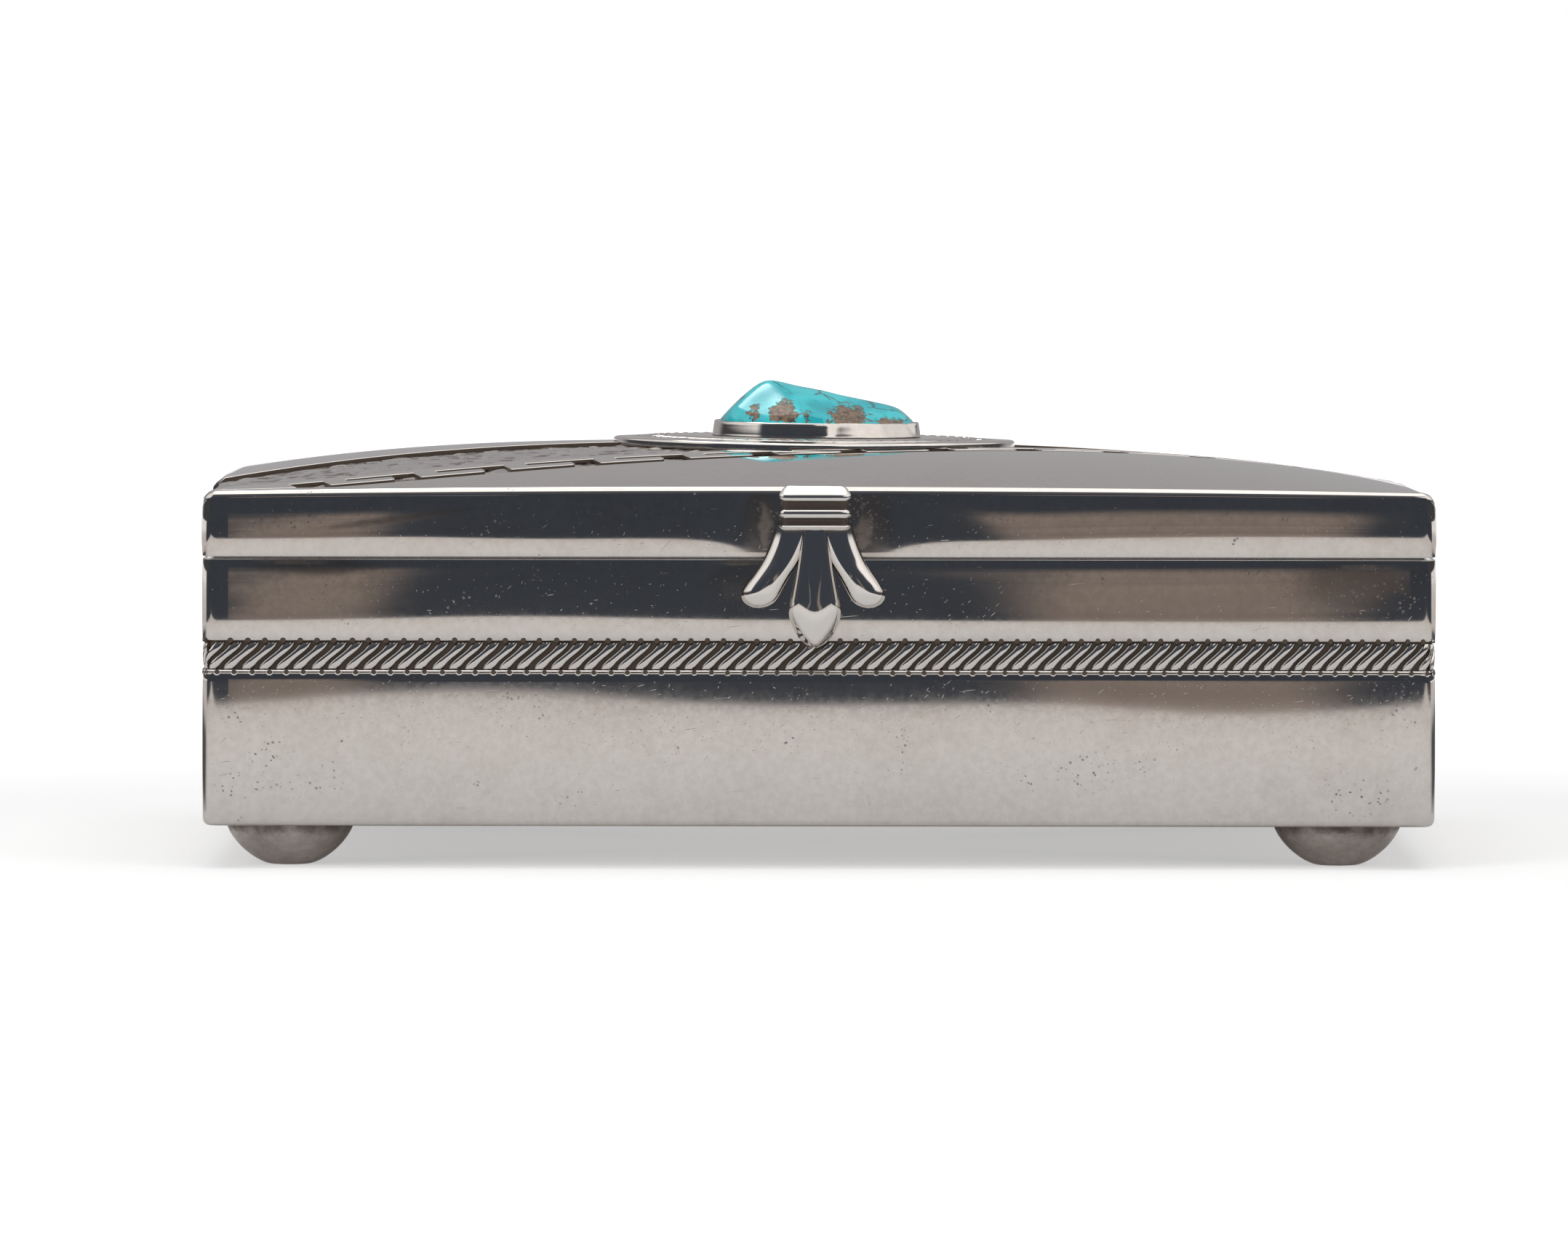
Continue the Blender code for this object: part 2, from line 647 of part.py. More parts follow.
def leaf_mesh(name, start, end, bow, width, width_shares):
    """A cushioned leaf, flat behind, along a bowed line from start to end in the front's plane."""
    start, end = Vector(start), Vector(end)
    count = len(width_shares)
    spine = []
    for i in range(count):
        share = i / (count - 1)
        spine.append(start.lerp(end, share) - Vector((bow * math.sin(math.pi * share), 0)))
    rings = []
    for i, share in enumerate(width_shares):
        ahead = (spine[min(i + 1, count - 1)] - spine[max(i - 1, 0)]).normalized()
        side = Vector((-ahead.y, ahead.x))
        half = width * share / 2
        depth = THUMB_THICKNESS * (THUMB_THIN_SHARE + (1 - THUMB_THIN_SHARE) * share)
        ring = []
        for step in range(LEAF_STEPS + 1):
            angle = math.pi * step / LEAF_STEPS
            place = spine[i] + side * half * math.cos(angle)
            swell_share = THUMB_EDGE_SHARE + (1 - THUMB_EDGE_SHARE) * math.sin(angle)
            ring.append((place.x, -depth * swell_share, place.y))
        for edge in (-half, half):
            place = spine[i] + side * edge
            ring.append((place.x, 0, place.y))
        rings.append(ring)
    return ring_solid(name, rings)


def neck_mesh(name):
    """The beaded neck of the thumb piece, from its top down, on z = 0 at its foot."""
    half = THUMB_NECK_WIDTH / 2
    rings = []
    for share, bead in THUMB_NECK_SHARES:
        z = THUMB_NECK_HEIGHT * (1 - share)
        depth = THUMB_THICKNESS - THUMB_GROOVE_DEPTH * (1 - bead)
        reach = half - THUMB_GROOVE_DEPTH / 2 * (1 - bead)
        shoulder = THUMB_GROOVE_DEPTH
        rings.append(
            [
                (-reach, 0, z),
                (-reach, shoulder - depth, z),
                (shoulder - reach, -depth, z),
                (reach - shoulder, -depth, z),
                (reach, shoulder - depth, z),
                (reach, 0, z),
            ]
        )
    return ring_solid(name, rings)


def add_thumb_piece(lid):
    """The neck and the three leaves, joined into one piece."""
    front_top = lid_skin(ORNAMENT_SHIFT, -CASE_DEPTH / 2)
    foot = front_top - THUMB_NECK_HEIGHT
    place = (ORNAMENT_SHIFT, -THUMB_BACK, foot)
    thumb = add_piece("thumb_piece", neck_mesh("thumb_piece"), "polished_silver", lid, place)
    root = THUMB_GROOVE_DEPTH
    leaves = {
        "middle": ((0, root), (0, -THUMB_MIDDLE_DROP), 0, THUMB_MIDDLE_WIDTH, THUMB_MIDDLE_WIDTH_SHARES)
    }
    for side, sign in (("left", -1), ("right", 1)):
        leaves[side] = (
            (sign * THUMB_SIDE_START, root),
            (sign * THUMB_SIDE_SPREAD, -THUMB_SIDE_DROP),
            sign * THUMB_SIDE_BOW,
            THUMB_SIDE_WIDTH,
            THUMB_SIDE_WIDTH_SHARES,
        )
    for side, (start, end, bow, width, shares) in leaves.items():
        name = f"thumb_leaf_{side}"
        leaf = add_piece(name, leaf_mesh(name, start, end, bow, width, shares), "polished_silver", lid, place)
        cut(thumb, leaf, "UNION")


def bearer_mesh(name, side):
    """The strip that seats the knuckles; side is 1 for the lid's and -1 for the case's."""
    wall = WALL_SWELL + SEAM - HINGE_OFFSET
    start = math.acos(max(-1, min(1, wall / KNUCKLE_CLEAR)))
    stop = STOP_HALF_ANGLE
    steps = ROUND_STEPS // 3
    outline = []
    for i in range(steps + 1):
        angle = start + (stop - start) * i / steps
        outline.append((KNUCKLE_CLEAR * math.cos(angle), KNUCKLE_CLEAR * math.sin(angle)))
    reach = KNUCKLE_RADIUS / math.cos(stop)
    outline.append((reach * math.cos(stop), reach * math.sin(stop)))
    outline.append((wall, BEARER_HEIGHT))
    length = KNUCKLE_COUNT * (KNUCKLE_LENGTH + KNUCKLE_GAP) - KNUCKLE_GAP
    rings = [[(x, y, side * z) for y, z in outline] for x in (-length / 2, length / 2)]
    return ring_solid(name, rings)


def add_hinge(case, lid):
    """Bearers, knuckles and pin, on the axis behind the joint of case and lid."""
    axis = (0, HINGE_Y, HINGE_Z)
    add_piece("case_bearer", bearer_mesh("case_bearer", -1), "satin_silver", case, axis)
    add_piece("lid_bearer", bearer_mesh("lid_bearer", 1), "satin_silver", lid, axis)
    pitch = KNUCKLE_LENGTH + KNUCKLE_GAP
    mesh = tube_along_x("knuckle", KNUCKLE_LENGTH, KNUCKLE_RADIUS, KNUCKLE_BORE)
    for i in range(KNUCKLE_COUNT):
        x = (i - (KNUCKLE_COUNT - 1) / 2) * pitch
        group, owner = (lid, "lid") if i % 2 else (case, "case")
        add_piece(f"{owner}_knuckle_{i + 1}", mesh, "satin_silver", group, (x, HINGE_Y, HINGE_Z))
    half = (KNUCKLE_COUNT * pitch - KNUCKLE_GAP) / 2 + HINGE_CLEARANCE
    pin = KNUCKLE_BORE - PIN_CLEARANCE
    profile = (
        (PIN_HEAD_RADIUS, -half - PIN_HEAD_LENGTH),
        (PIN_HEAD_RADIUS, -half),
        (pin, -half),
        (pin, half),
        (PIN_HEAD_RADIUS, half),
        (PIN_HEAD_RADIUS, half + PIN_HEAD_LENGTH),
    )
    piece = add_piece("hinge_pin", lathe("hinge_pin", profile), "satin_silver", case, axis)
    piece.rotation_euler.y = math.pi / 2


def main():
    """Build the box, closed."""
    clear_scene()
    case = add_group("case", (0, CASE_SHIFT, 0))
    lid = add_group("lid", (0, CASE_SHIFT + HINGE_Y, HINGE_Z))
    lid["pivot"] = (0, HINGE_Y, HINGE_Z)
    add_case(case)
    add_rope_border(case)
    add_feet(case)
    add_lid_body(lid)
    add_cut_sheet(lid)
    add_medallion(lid)
    add_stone(lid)
    add_thumb_piece(lid)
    add_hinge(case, lid)


main()
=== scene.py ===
"""Looks of the silver keepsake box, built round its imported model.

Metres, +Z up. The box stands on z = 0 and its front faces -Y. Each sub-assembly is a class that
holds its sizes, builds its meshes and dresses them.
"""

import json
import logging
from dataclasses import dataclass
from enum import Enum
from functools import reduce
from math import acos, ceil, copysign, cos, floor, hypot, log, pi, radians, sin, sqrt, tan
from typing import Iterable, Sequence

import bmesh
import bpy
import numpy as np
from mathutils import Matrix, Vector, geometry, noise

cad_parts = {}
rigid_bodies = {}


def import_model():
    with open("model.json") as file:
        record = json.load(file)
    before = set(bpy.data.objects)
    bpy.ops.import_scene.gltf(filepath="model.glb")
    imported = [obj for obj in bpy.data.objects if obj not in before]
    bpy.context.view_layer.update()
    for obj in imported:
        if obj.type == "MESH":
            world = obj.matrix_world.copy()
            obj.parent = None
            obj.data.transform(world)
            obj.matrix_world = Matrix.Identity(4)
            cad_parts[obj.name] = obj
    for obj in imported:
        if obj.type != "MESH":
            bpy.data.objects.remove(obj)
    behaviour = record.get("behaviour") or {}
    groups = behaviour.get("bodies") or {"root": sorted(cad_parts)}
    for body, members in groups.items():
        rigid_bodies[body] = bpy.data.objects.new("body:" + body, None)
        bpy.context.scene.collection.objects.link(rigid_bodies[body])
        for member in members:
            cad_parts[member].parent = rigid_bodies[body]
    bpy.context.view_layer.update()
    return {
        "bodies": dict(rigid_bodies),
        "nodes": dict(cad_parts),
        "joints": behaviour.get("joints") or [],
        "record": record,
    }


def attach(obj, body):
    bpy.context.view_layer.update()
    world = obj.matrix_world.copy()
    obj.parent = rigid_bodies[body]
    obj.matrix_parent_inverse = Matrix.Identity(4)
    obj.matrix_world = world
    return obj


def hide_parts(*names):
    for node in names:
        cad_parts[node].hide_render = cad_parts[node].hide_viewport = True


MM = 0.001
LOG = logging.getLogger("keepsake_box")

Array = np.ndarray
Material = bpy.types.Material
Mesh = bpy.types.Mesh
Tree = bpy.types.NodeTree
Place = tuple[float, float, float]
Colour = tuple[float, float, float]
Pair = tuple[float, float]
Face = tuple[int, ...]

# Types of node sockets.
NUMBER = "NodeSocketFloat"
SHAPE = "NodeSocketGeometry"
FINISH = "NodeSocketMaterial"

# The box in plan and in height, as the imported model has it.
HALF_WIDTH = 76 * MM
HALF_DEPTH = 49 * MM
CASE_BOTTOM = 5.3 * MM
ROPE_BOTTOM = 24.3 * MM
ROPE_TOP = 28.15 * MM
CASE_TOP = 38.25 * MM
LID_BOTTOM = 38.55 * MM
LID_CORNER = 46.55 * MM
WALL = 1.3 * MM
HINGE_Y = 50.7 * MM
HINGE_Z = 38.4 * MM
ORNAMENT_X = -0.5 * MM


class Body(Enum):
    """The two bodies that the hinge joins."""

    CASE = "case"
    LID = "lid"


class Slot(Enum):
    """The record's material slots."""

    POLISHED = "polished_silver"
    SATIN = "satin_silver"
    OXIDISED = "oxidised_silver"
    STONE = "turquoise"


class Mark(Enum):
    """Marks painted at a mesh's points, which the finishes read by name."""

    # Darkens a surface: oxide in its hollows, the stone's brown matrix, and in a few places painted shade or a
    # painted dark reflection.
    GRIME = "grime"
    # Cloudy brown tarnish; beside the thumb piece it also stands for a painted reflection of the thumb piece.
    HAZE = "haze"
    SPECKS = "specks"


class Side(Enum):
    """The four sides of the box, as quarter turns from the front."""

    FRONT = 0
    RIGHT = 1
    BACK = 2
    LEFT = 3


def band_faces(low: int, high: int, count: int) -> list[Face]:
    """Quads between two rings of that many points, whose numbers start at low and at high."""
    return [(low + i, low + (i + 1) % count, high + (i + 1) % count, high + i) for i in range(count)]


class MeshDraft:
    """Points and faces that become one mesh, with marks painted at the points."""

    def __init__(self) -> None:
        """Start with nothing in it."""
        self.points: list[Place] = []
        self.faces: list[Face] = []
        self.marks: dict[str, list[float]] = {mark.value: [] for mark in Mark}

    def add(self, points: Iterable[Sequence[float]], faces: Iterable[Face], **marks: object) -> "MeshDraft":
        """Add a shape.

        Args:
            points: Its points, in metres.
            faces: Its faces, as indices into those points.
            marks: A number for each point, or one number, by the mark's name.

        Returns:
            This draft.
        """
        start = len(self.points)
        self.points += [tuple(map(float, point)) for point in points]
        self.faces += [tuple(start + i for i in face) for face in faces]
        for name, values in self.marks.items():
            given = np.asarray(marks.get(name, 0.0), float)
            values += np.broadcast_to(given, len(self.points) - start).tolist()
        return self

    def add_rings(
        self, rings: Sequence[Sequence[Sequence[float]]], closed: bool = False, **marks: object,
    ) -> "MeshDraft":
        """Join equal rings of points with quads.

        Args:
            rings: The rings, each with the same number of points.
            closed: Join the last ring to the first, and cap nothing.
            marks: As in add.

        Returns:
            This draft.
        """
        count, rows = len(rings[0]), len(rings)
        points = [point for ring in rings for point in ring]
        faces = []
        for row in range(rows if closed else rows - 1):
            faces += band_faces(row * count, (row + 1) % rows * count, count)
        if not closed:
            for start in (0, (rows - 1) * count):
                points.append(tuple(np.mean(np.asarray(points[start:start + count], float), axis=0)))
                hub = len(points) - 1
                faces += [(hub, start + i, start + (i + 1) % count) for i in range(count)]
            for name, values in marks.items():
                array = np.asarray(values, float)
                if array.ndim:
                    marks[name] = np.append(array, [array[:count].mean(), array[-count:].mean()])
        return self.add(points, faces, **marks)

    def take(self, mesh: Mesh, place: Matrix = Matrix.Identity(4)) -> "MeshDraft":
        """Add a finished mesh with its marks, and drop the mesh.

        Args:
            mesh: The mesh.
            place: Where it goes.

        Returns:
            This draft.
        """
        marks = {}
        for mark in Mark:
            layer = mesh.attributes.get(mark.value)
            if layer:
                marks[mark.value] = [item.value for item in layer.data]
        points = [place @ vertex.co for vertex in mesh.vertices]
        self.add(points, [tuple(polygon.vertices) for polygon in mesh.polygons], **marks)
        bpy.data.meshes.remove(mesh)
        return self

    def finish(self, name: str, sharp: float = 40, outward: bool = True) -> Mesh:
        """Make the mesh.

        Args:
            name: The mesh's name.
            sharp: Edges that turn by more degrees than this stay sharp.
            outward: Turn all faces outwards.

        Returns:
            The mesh, smooth between its sharp edges.
        """
        mesh = bpy.data.meshes.new(name)
        mesh.from_pydata(self.points, [], self.faces)
        if outward:
            bm = bmesh.new()
            bm.from_mesh(mesh)
            bmesh.ops.recalc_face_normals(bm, faces=bm.faces)
            bm.to_mesh(mesh)
            bm.free()
        for label, values in self.marks.items():
            mesh.attributes.new(label, "FLOAT", "POINT").data.foreach_set("value", values)
        mesh.shade_smooth()
        mesh.set_sharp_from_angle(angle=radians(sharp))
        return mesh


def new_object(name: str, data: bpy.types.ID) -> bpy.types.Object:
    """A new object in the scene, with that data."""
    made = bpy.data.objects.new(name, data)
    bpy.context.scene.collection.objects.link(made)
    return made


def fit(name: str, mesh: Mesh, finish: Material, body: Body, slot: Slot, *nodes: str) -> None:
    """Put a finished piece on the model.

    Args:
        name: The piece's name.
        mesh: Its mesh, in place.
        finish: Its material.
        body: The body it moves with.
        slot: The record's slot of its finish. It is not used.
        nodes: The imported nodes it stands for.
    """
    mesh.materials.clear()
    mesh.materials.append(finish)
    piece = new_object(name, mesh)
    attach(piece, body.value)
    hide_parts(*nodes)
    LOG.info("%s: %d faces on %s, for %s", name, len(mesh.polygons), body.value, ", ".join(nodes))


def around(count: int) -> Array:
    """That many even turns round a circle."""
    return np.linspace(0, 2 * pi, count + 1)[:-1]


def at_height(plan: Array, height: object) -> Array:
    """Points over a plan, all at one height or each at its own."""
    return np.column_stack((plan, np.broadcast_to(height, len(plan))))


def smooth_step(value: Array, low: float, high: float) -> Array:
    """0 below low, 1 above high, and an even S between them."""
    t = np.clip((np.asarray(value, float) - low) / (high - low), 0, 1)
    return t * t * (3 - 2 * t)


def wander(points: Array, size: float, height: float, seed: float = 0.0) -> Array:
    """A slow random swell at each point.

    Args:
        points: The points, one per row.
        size: How far apart its waves lie.
        height: How high they stand.
        seed: Moves the pattern.

    Returns:
        The swell, in metres.
    """
    shift = Vector((seed, seed * 0.7, seed * 1.3))
    return height * np.array([noise.noise(Vector(p) / size + shift) for p in np.asarray(points, float)])


def smooth_shares(shares: Sequence[float], count: int) -> Array:
    """Values read evenly along a smooth curve through those shares."""
    knots = np.asarray(shares, float)
    padded = np.concatenate(([2 * knots[0] - knots[1]], knots, [2 * knots[-1] - knots[-2]]))
    at = np.linspace(0, len(knots) - 1, count)
    i = np.minimum(at.astype(int), len(knots) - 2)
    t = at - i
    a, b, c, d = (padded[i + k] for k in range(4))
    return 0.5 * (2 * b + (c - a) * t + (2 * a - 5 * b + 4 * c - d) * t**2 + (3 * b - a - 3 * c + d) * t**3)


class Signal:
    """A node's output, to which plain arithmetic adds Math nodes."""

    def __init__(self, bench: "NodeBench", socket: bpy.types.NodeSocket) -> None:
        """Hold that output of a node on the bench."""
        self.bench, self.socket = bench, socket

    def __add__(self, other: object) -> "Signal":
        """The sum."""
        return self.bench.math("ADD", self, other)

    def __sub__(self, other: object) -> "Signal":
        """The difference."""
        return self.bench.math("SUBTRACT", self, other)

    def __rsub__(self, other: object) -> "Signal":
        """A number less this."""
        return self.bench.math("SUBTRACT", other, self)

    def __mul__(self, other: object) -> "Signal":
        """The product."""
        return self.bench.math("MULTIPLY", self, other)

    def __truediv__(self, other: object) -> "Signal":
        """The quotient."""
        return self.bench.math("DIVIDE", self, other)


class NodeBench:
    """A short way to lay out the nodes of one tree."""

    def __init__(self, tree: Tree) -> None:
        """Work on that tree."""
        self.tree = tree

    def feed(self, node: bpy.types.Node, inputs: dict) -> bpy.types.Node:
        """Fill inputs of a node.

        Args:
            node: The node.
            inputs: A value or a signal for each input, by name or number.

        Returns:
            The node.
        """
        for key, value in inputs.items():
            socket = node.inputs[key]
            if isinstance(value, Signal):
                self.tree.links.new(value.socket, socket)
            else:
                socket.default_value = (*value, 1) if socket.type == "RGBA" else value
        return node

    def add(self, kind: str, *values: object, **named: object) -> bpy.types.Node:
        """Add a node.

        Args:
            kind: Its type.
            values: What its first inputs take.
            named: What an input takes, where the name has a capital, and otherwise a property's value.

        Returns:
            The node.
        """
        node = self.tree.nodes.new(kind)
        inputs = dict(enumerate(values))
        for key, value in named.items():
            if key[0].isupper():
                inputs[key.replace("_", " ")] = value
            else:
                setattr(node, key, value)
        return self.feed(node, inputs)

    def get(self, kind: str, *values: object, out: int | str = 0, **named: object) -> Signal:
        """One output of a new node."""
        return Signal(self, self.add(kind, *values, **named).outputs[out])

    def outputs(self, kind: str, *values: object, **named: object) -> dict[str, Signal]:
        """Every output of a new node, by name."""
        return {socket.name: Signal(self, socket) for socket in self.add(kind, *values, **named).outputs}

    def math(self, operation: str, *values: object, clamp: bool = False) -> Signal:
        """The result of a Math node."""
        return self.get("ShaderNodeMath", *values, operation=operation, use_clamp=clamp)

    def most(self, *values: object) -> Signal:
        """The largest of the values."""
        return reduce(lambda first, second: self.math("MAXIMUM", first, second), values)

    def vector(self, operation: str, *values: object, **named: object) -> Signal:
        """The result of a Vector Math node."""
        out = "Value" if operation in ("LENGTH", "DISTANCE") else 0
        return self.get("ShaderNodeVectorMath", *values, out=out, operation=operation, **named)

    def xyz(self, x: object = 0.0, y: object = 0.0, z: object = 0.0) -> Signal:
        """A vector of three values."""
        return self.get("ShaderNodeCombineXYZ", x, y, z)

    def axes(self, vector: Signal) -> dict[str, Signal]:
        """The X, Y and Z of a vector."""
        return self.outputs("ShaderNodeSeparateXYZ", vector)

    def mix(self, share: object, first: object, second: object) -> Signal:
        """A colour between two colours."""
        node = self.add("ShaderNodeMix", data_type="RGBA")
        return Signal(self, self.feed(node, {0: share, 6: first, 7: second}).outputs[2])

    def step(
        self, value: object, low: float, high: object, to_low: float = 0.0, to_high: float = 1.0,
    ) -> Signal:
        """Map a value from one range to another with an even S between them."""
        return self.get("ShaderNodeMapRange", value, low, high, to_low, to_high,
                        interpolation_type="SMOOTHSTEP")

    def fall(self, value: object, low: float, high: float) -> Signal:
        """1 below low and 0 above high."""
        return self.step(value, low, high, 1.0, 0.0)

    def band(self, value: object, low: float, start: float, end: float, high: float) -> Signal:
        """1 from start to end, and 0 below low and above high."""
        return self.step(value, low, start) * self.fall(value, end, high)

    def place(self) -> Signal:
        """The place on the object."""
        return self.get("ShaderNodeTexCoord", out="Object")

    def noise(
        self, place: Signal, scale: object, detail: float = 2.0, rough: float = 0.5, out: str = "Fac",
    ) -> Signal:
        """An output of a noise texture."""
        return self.get("ShaderNodeTexNoise", Vector=place, Scale=scale, Detail=detail, Roughness=rough,
                        out=out)

    def bent(self, place: Signal, scale: float, detail: float, reach: float) -> Signal:
        """That place, pushed about by noise."""
        push = self.noise(place, scale, detail, out="Color")
        return self.vector("MULTIPLY_ADD", push, (reach, reach, reach), place)

    def attribute(self, mark: Mark) -> Signal:
        """A mark painted at the mesh's points."""
        return self.get("ShaderNodeAttribute", out="Fac", attribute_name=mark.value)

    def put(self, **results: Signal) -> Tree:
        """Link a group's outputs, and return the group."""
        self.add("NodeGroupOutput", **results)
        return self.tree

    def put_shape(self, shape: Signal, finish: Signal) -> Tree:
        """Make a shape's instances real, set its finish, link it and return the group."""
        real = self.get("GeometryNodeRealizeInstances", Geometry=shape)
        return self.put(Shape=self.get("GeometryNodeSetMaterial", Geometry=real, Material=finish))


def new_group(
    name: str, kind: str, inputs: dict[str, object], outputs: dict[str, str],
) -> tuple[NodeBench, dict[str, Signal]]:
    """Start a node group.

    Args:
        name: Its name.
        kind: ShaderNodeTree or GeometryNodeTree.
        inputs: The default of each input, by name, or the socket's type where it has no default.
        outputs: The socket's type of each output, by name.

    Returns:
        A bench on the group, and its inputs by name.
    """
    tree = bpy.data.node_groups.new(name, kind)
    for label, default in inputs.items():
        if isinstance(default, str):
            tree.interface.new_socket(label, in_out="INPUT", socket_type=default)
        else:
            socket_type = "NodeSocketInt" if isinstance(default, int) else NUMBER
            tree.interface.new_socket(label, in_out="INPUT", socket_type=socket_type).default_value = default
    for label, socket_type in outputs.items():
        tree.interface.new_socket(label, in_out="OUTPUT", socket_type=socket_type)
    bench = NodeBench(tree)
    return bench, bench.outputs("NodeGroupInput")


def new_material(name: str) -> tuple[Material, NodeBench, bpy.types.Node]:
    """A new material, a bench on its nodes, and its shader."""
    material = bpy.data.materials.new(name)
    material.use_nodes = True
    return material, NodeBench(material.node_tree), material.node_tree.nodes["Principled BSDF"]


def grown(mesh: Mesh, tree: Tree, values: dict[str, object]) -> Mesh:
    """What a geometry tree makes of a mesh.

    Args:
        mesh: The mesh that goes in. It is removed.
        tree: The tree.
        values: What its other inputs take, by name.

    Returns:
        The result, as a plain mesh.
    """
    maker = new_object(tree.name, mesh)
    modifier = maker.modifiers.new(tree.name, "NODES")
    modifier.node_group = tree
    for item in tree.interface.items_tree:
        if item.in_out == "INPUT" and item.name in values:
            modifier[item.identifier] = values[item.name]
    graph = bpy.context.evaluated_depsgraph_get()
    graph.update()
    made = maker.evaluated_get(graph)
    result = bpy.data.meshes.new_from_object(made, preserve_all_data_layers=True, depsgraph=graph)
    bpy.data.objects.remove(maker)
    bpy.data.meshes.remove(mesh)
    return result


class SharedEffects:
    """Shader node groups that several finishes use."""

    def __init__(self) -> None:
        """Build each group once."""
        self.wear = self.build_wear()
        self.bloom = self.build_bloom()

    def build_wear(self) -> Tree:
        """Hairline scratches, soft dents and specks of tarnish.

        Returns:
            The group. Its inputs say how strong each mark is, and its outputs are masks of the
            scratches and specks and a height for a bump.
        """
        outputs = dict.fromkeys(("Scratch", "Speck", "Dots", "Height"), NUMBER)
        bench, given = new_group("surface_wear", "ShaderNodeTree",
                                 {"Scratches": 0.5, "Specks": 0.3, "Dents": 0.5}, outputs)
        place = bench.place()
        lines = []
        for turn, length, scale in ((0.75, 80, 1500), (-0.7, 110, 1300), (1.45, 70, 1700),
                                    (-1.25, 90, 1500), (0.3, 60, 1400)):
            turned = bench.get(
                "ShaderNodeMapping", bench.bent(place, 60, 1, 0.003), Rotation=(0.3, turn, 0.2),
                Scale=(1, 1, length), vector_type="TEXTURE")
            lines.append(bench.fall(bench.get("ShaderNodeTexVoronoi", turned, Scale=scale), 0.02, 0.085))
        scratch = bench.math("MULTIPLY", bench.most(*lines), given["Scratches"], clamp=True)
        cells = bench.get("ShaderNodeTexVoronoi", bench.bent(place, 2500, 2, 0.0003), Scale=1500)
        dots = bench.fall(cells, 0.17, 0.32)
        clusters = bench.step(bench.noise(place, 160, 3.0, 0.6), 0.60, 0.70)
        speck = bench.math("MULTIPLY", dots * clusters, given["Specks"], clamp=True)
        height = bench.noise(place, 150, 1.0) * given["Dents"] - scratch * 0.15
        return bench.put(Scratch=scratch, Speck=speck, Dots=dots, Height=height)

    def build_bloom(self) -> Tree:
        """Cloudy tarnish with a broken edge.

        Returns:
            The group. Amount says how much of the surface it takes, and Mask is how thick it lies.
        """
        inputs = {"Amount": 0.2, "Scale": 60.0, "Edge": 0.15}
        bench, given = new_group("tarnish_bloom", "ShaderNodeTree", inputs, {"Mask": NUMBER})
        cloud = bench.noise(bench.place(), given["Scale"], 5.0, 0.62)
        low = (1.0 - given["Amount"]) * 0.6 + 0.2
        return bench.put(Mask=bench.step(cloud, low, low + given["Edge"]))


@dataclass(frozen=True)
class SilverFinish:
    """Silver, from polished to oxidised, with its wear.

    Attributes:
        name: The material's name.
        colour: The clean metal.
        tarnish: The colour of cloudy tarnish.
        grime: The colour in the recesses.
        roughness: Of the clean metal.
        bloom: How much of it has cloudy tarnish.
        bloom_scale: How small the clouds are.
        scratches: How many hairlines show.
        specks: How many specks show.
        grain: How strongly fine mottling shows.
        dents: How uneven the surface is, in the bump.
        bump: The depth of the bump, in metres.
        matt: How far grime hides the metal.
    """

    name: str
    colour: Colour = (0.80, 0.77, 0.74)
    tarnish: Colour = (0.36, 0.28, 0.22)
    # Oxide in the recesses, and painted shade where a piece marks it.
    grime: Colour = (0.095, 0.070, 0.052)
    roughness: float = 0.032
    bloom: float = 0.18
    bloom_scale: float = 55.0
    scratches: float = 0.7
    specks: float = 0.6
    grain: float = 0.14
    dents: float = 0.05
    bump: float = 0.00001
    matt: float = 0.85

    def material(self, effects: SharedEffects) -> Material:
        """The finish as a material.

        Args:
            effects: The shared node groups.

        Returns:
            The material.
        """
        material, bench, shader = new_material(self.name)
        wear = bench.outputs(
            "ShaderNodeGroup", node_tree=effects.wear, Scratches=self.scratches, Specks=self.specks,
            Dents=self.dents)
        bloom = bench.get(
            "ShaderNodeGroup", node_tree=effects.bloom, Amount=self.bloom, Scale=self.bloom_scale, Edge=0.22)
        place = bench.place()
        breakup = bench.noise(place, 420, 4.0, 0.65)
        # Cloudy tarnish, which beside the thumb piece is partly a painted reflection.
        haze = bench.step(bench.attribute(Mark.HAZE) + (breakup * 0.5 - 0.25), 0.1, 0.95)
        cloud = bench.most(bloom * 0.4, haze)
        dots = bench.attribute(Mark.SPECKS) * bench.step(bench.noise(place, 700), 0.40, 0.50) * wear["Dots"]
        specks = bench.math("MULTIPLY", bench.most(dots, wear["Speck"]), 0.85, clamp=True)
        # Oxide in hollows, and painted shade where a piece marks it, darken the colour and dull the metal.
        grime = bench.step(bench.attribute(Mark.GRIME) + (breakup * 0.4 - 0.2), 0.3, 0.62)
        grime = bench.most(grime, specks)
        grain = bench.step(bench.noise(place, 900, 3.0, 0.7), 0.3, 0.7, 0.0, self.grain)
        mottle = bench.step(bench.noise(place, 110, 4.0, 0.7), 0.42, 0.75, 0.0, self.grain * 0.9)
        tone = bench.mix(cloud * 0.55, self.colour, self.tarnish)
        tone = bench.mix(grain + mottle, tone, self.tarnish)
        tone = bench.mix(wear["Scratch"] * 0.5, tone, (0.93, 0.90, 0.86))
        rough = cloud * 0.06 + self.roughness + grain * 0.12 + grime * 0.35
        bench.feed(shader, {
            "Base Color": bench.mix(grime, tone, self.grime),
            "Roughness": bench.math("ADD", rough, wear["Scratch"] * 0.25, clamp=True),
            "Normal": bench.get("ShaderNodeBump", Height=wear["Height"], Distance=self.bump, Strength=1.0),
            "Metallic": 1.0 - grime * self.matt,
        })
        return material


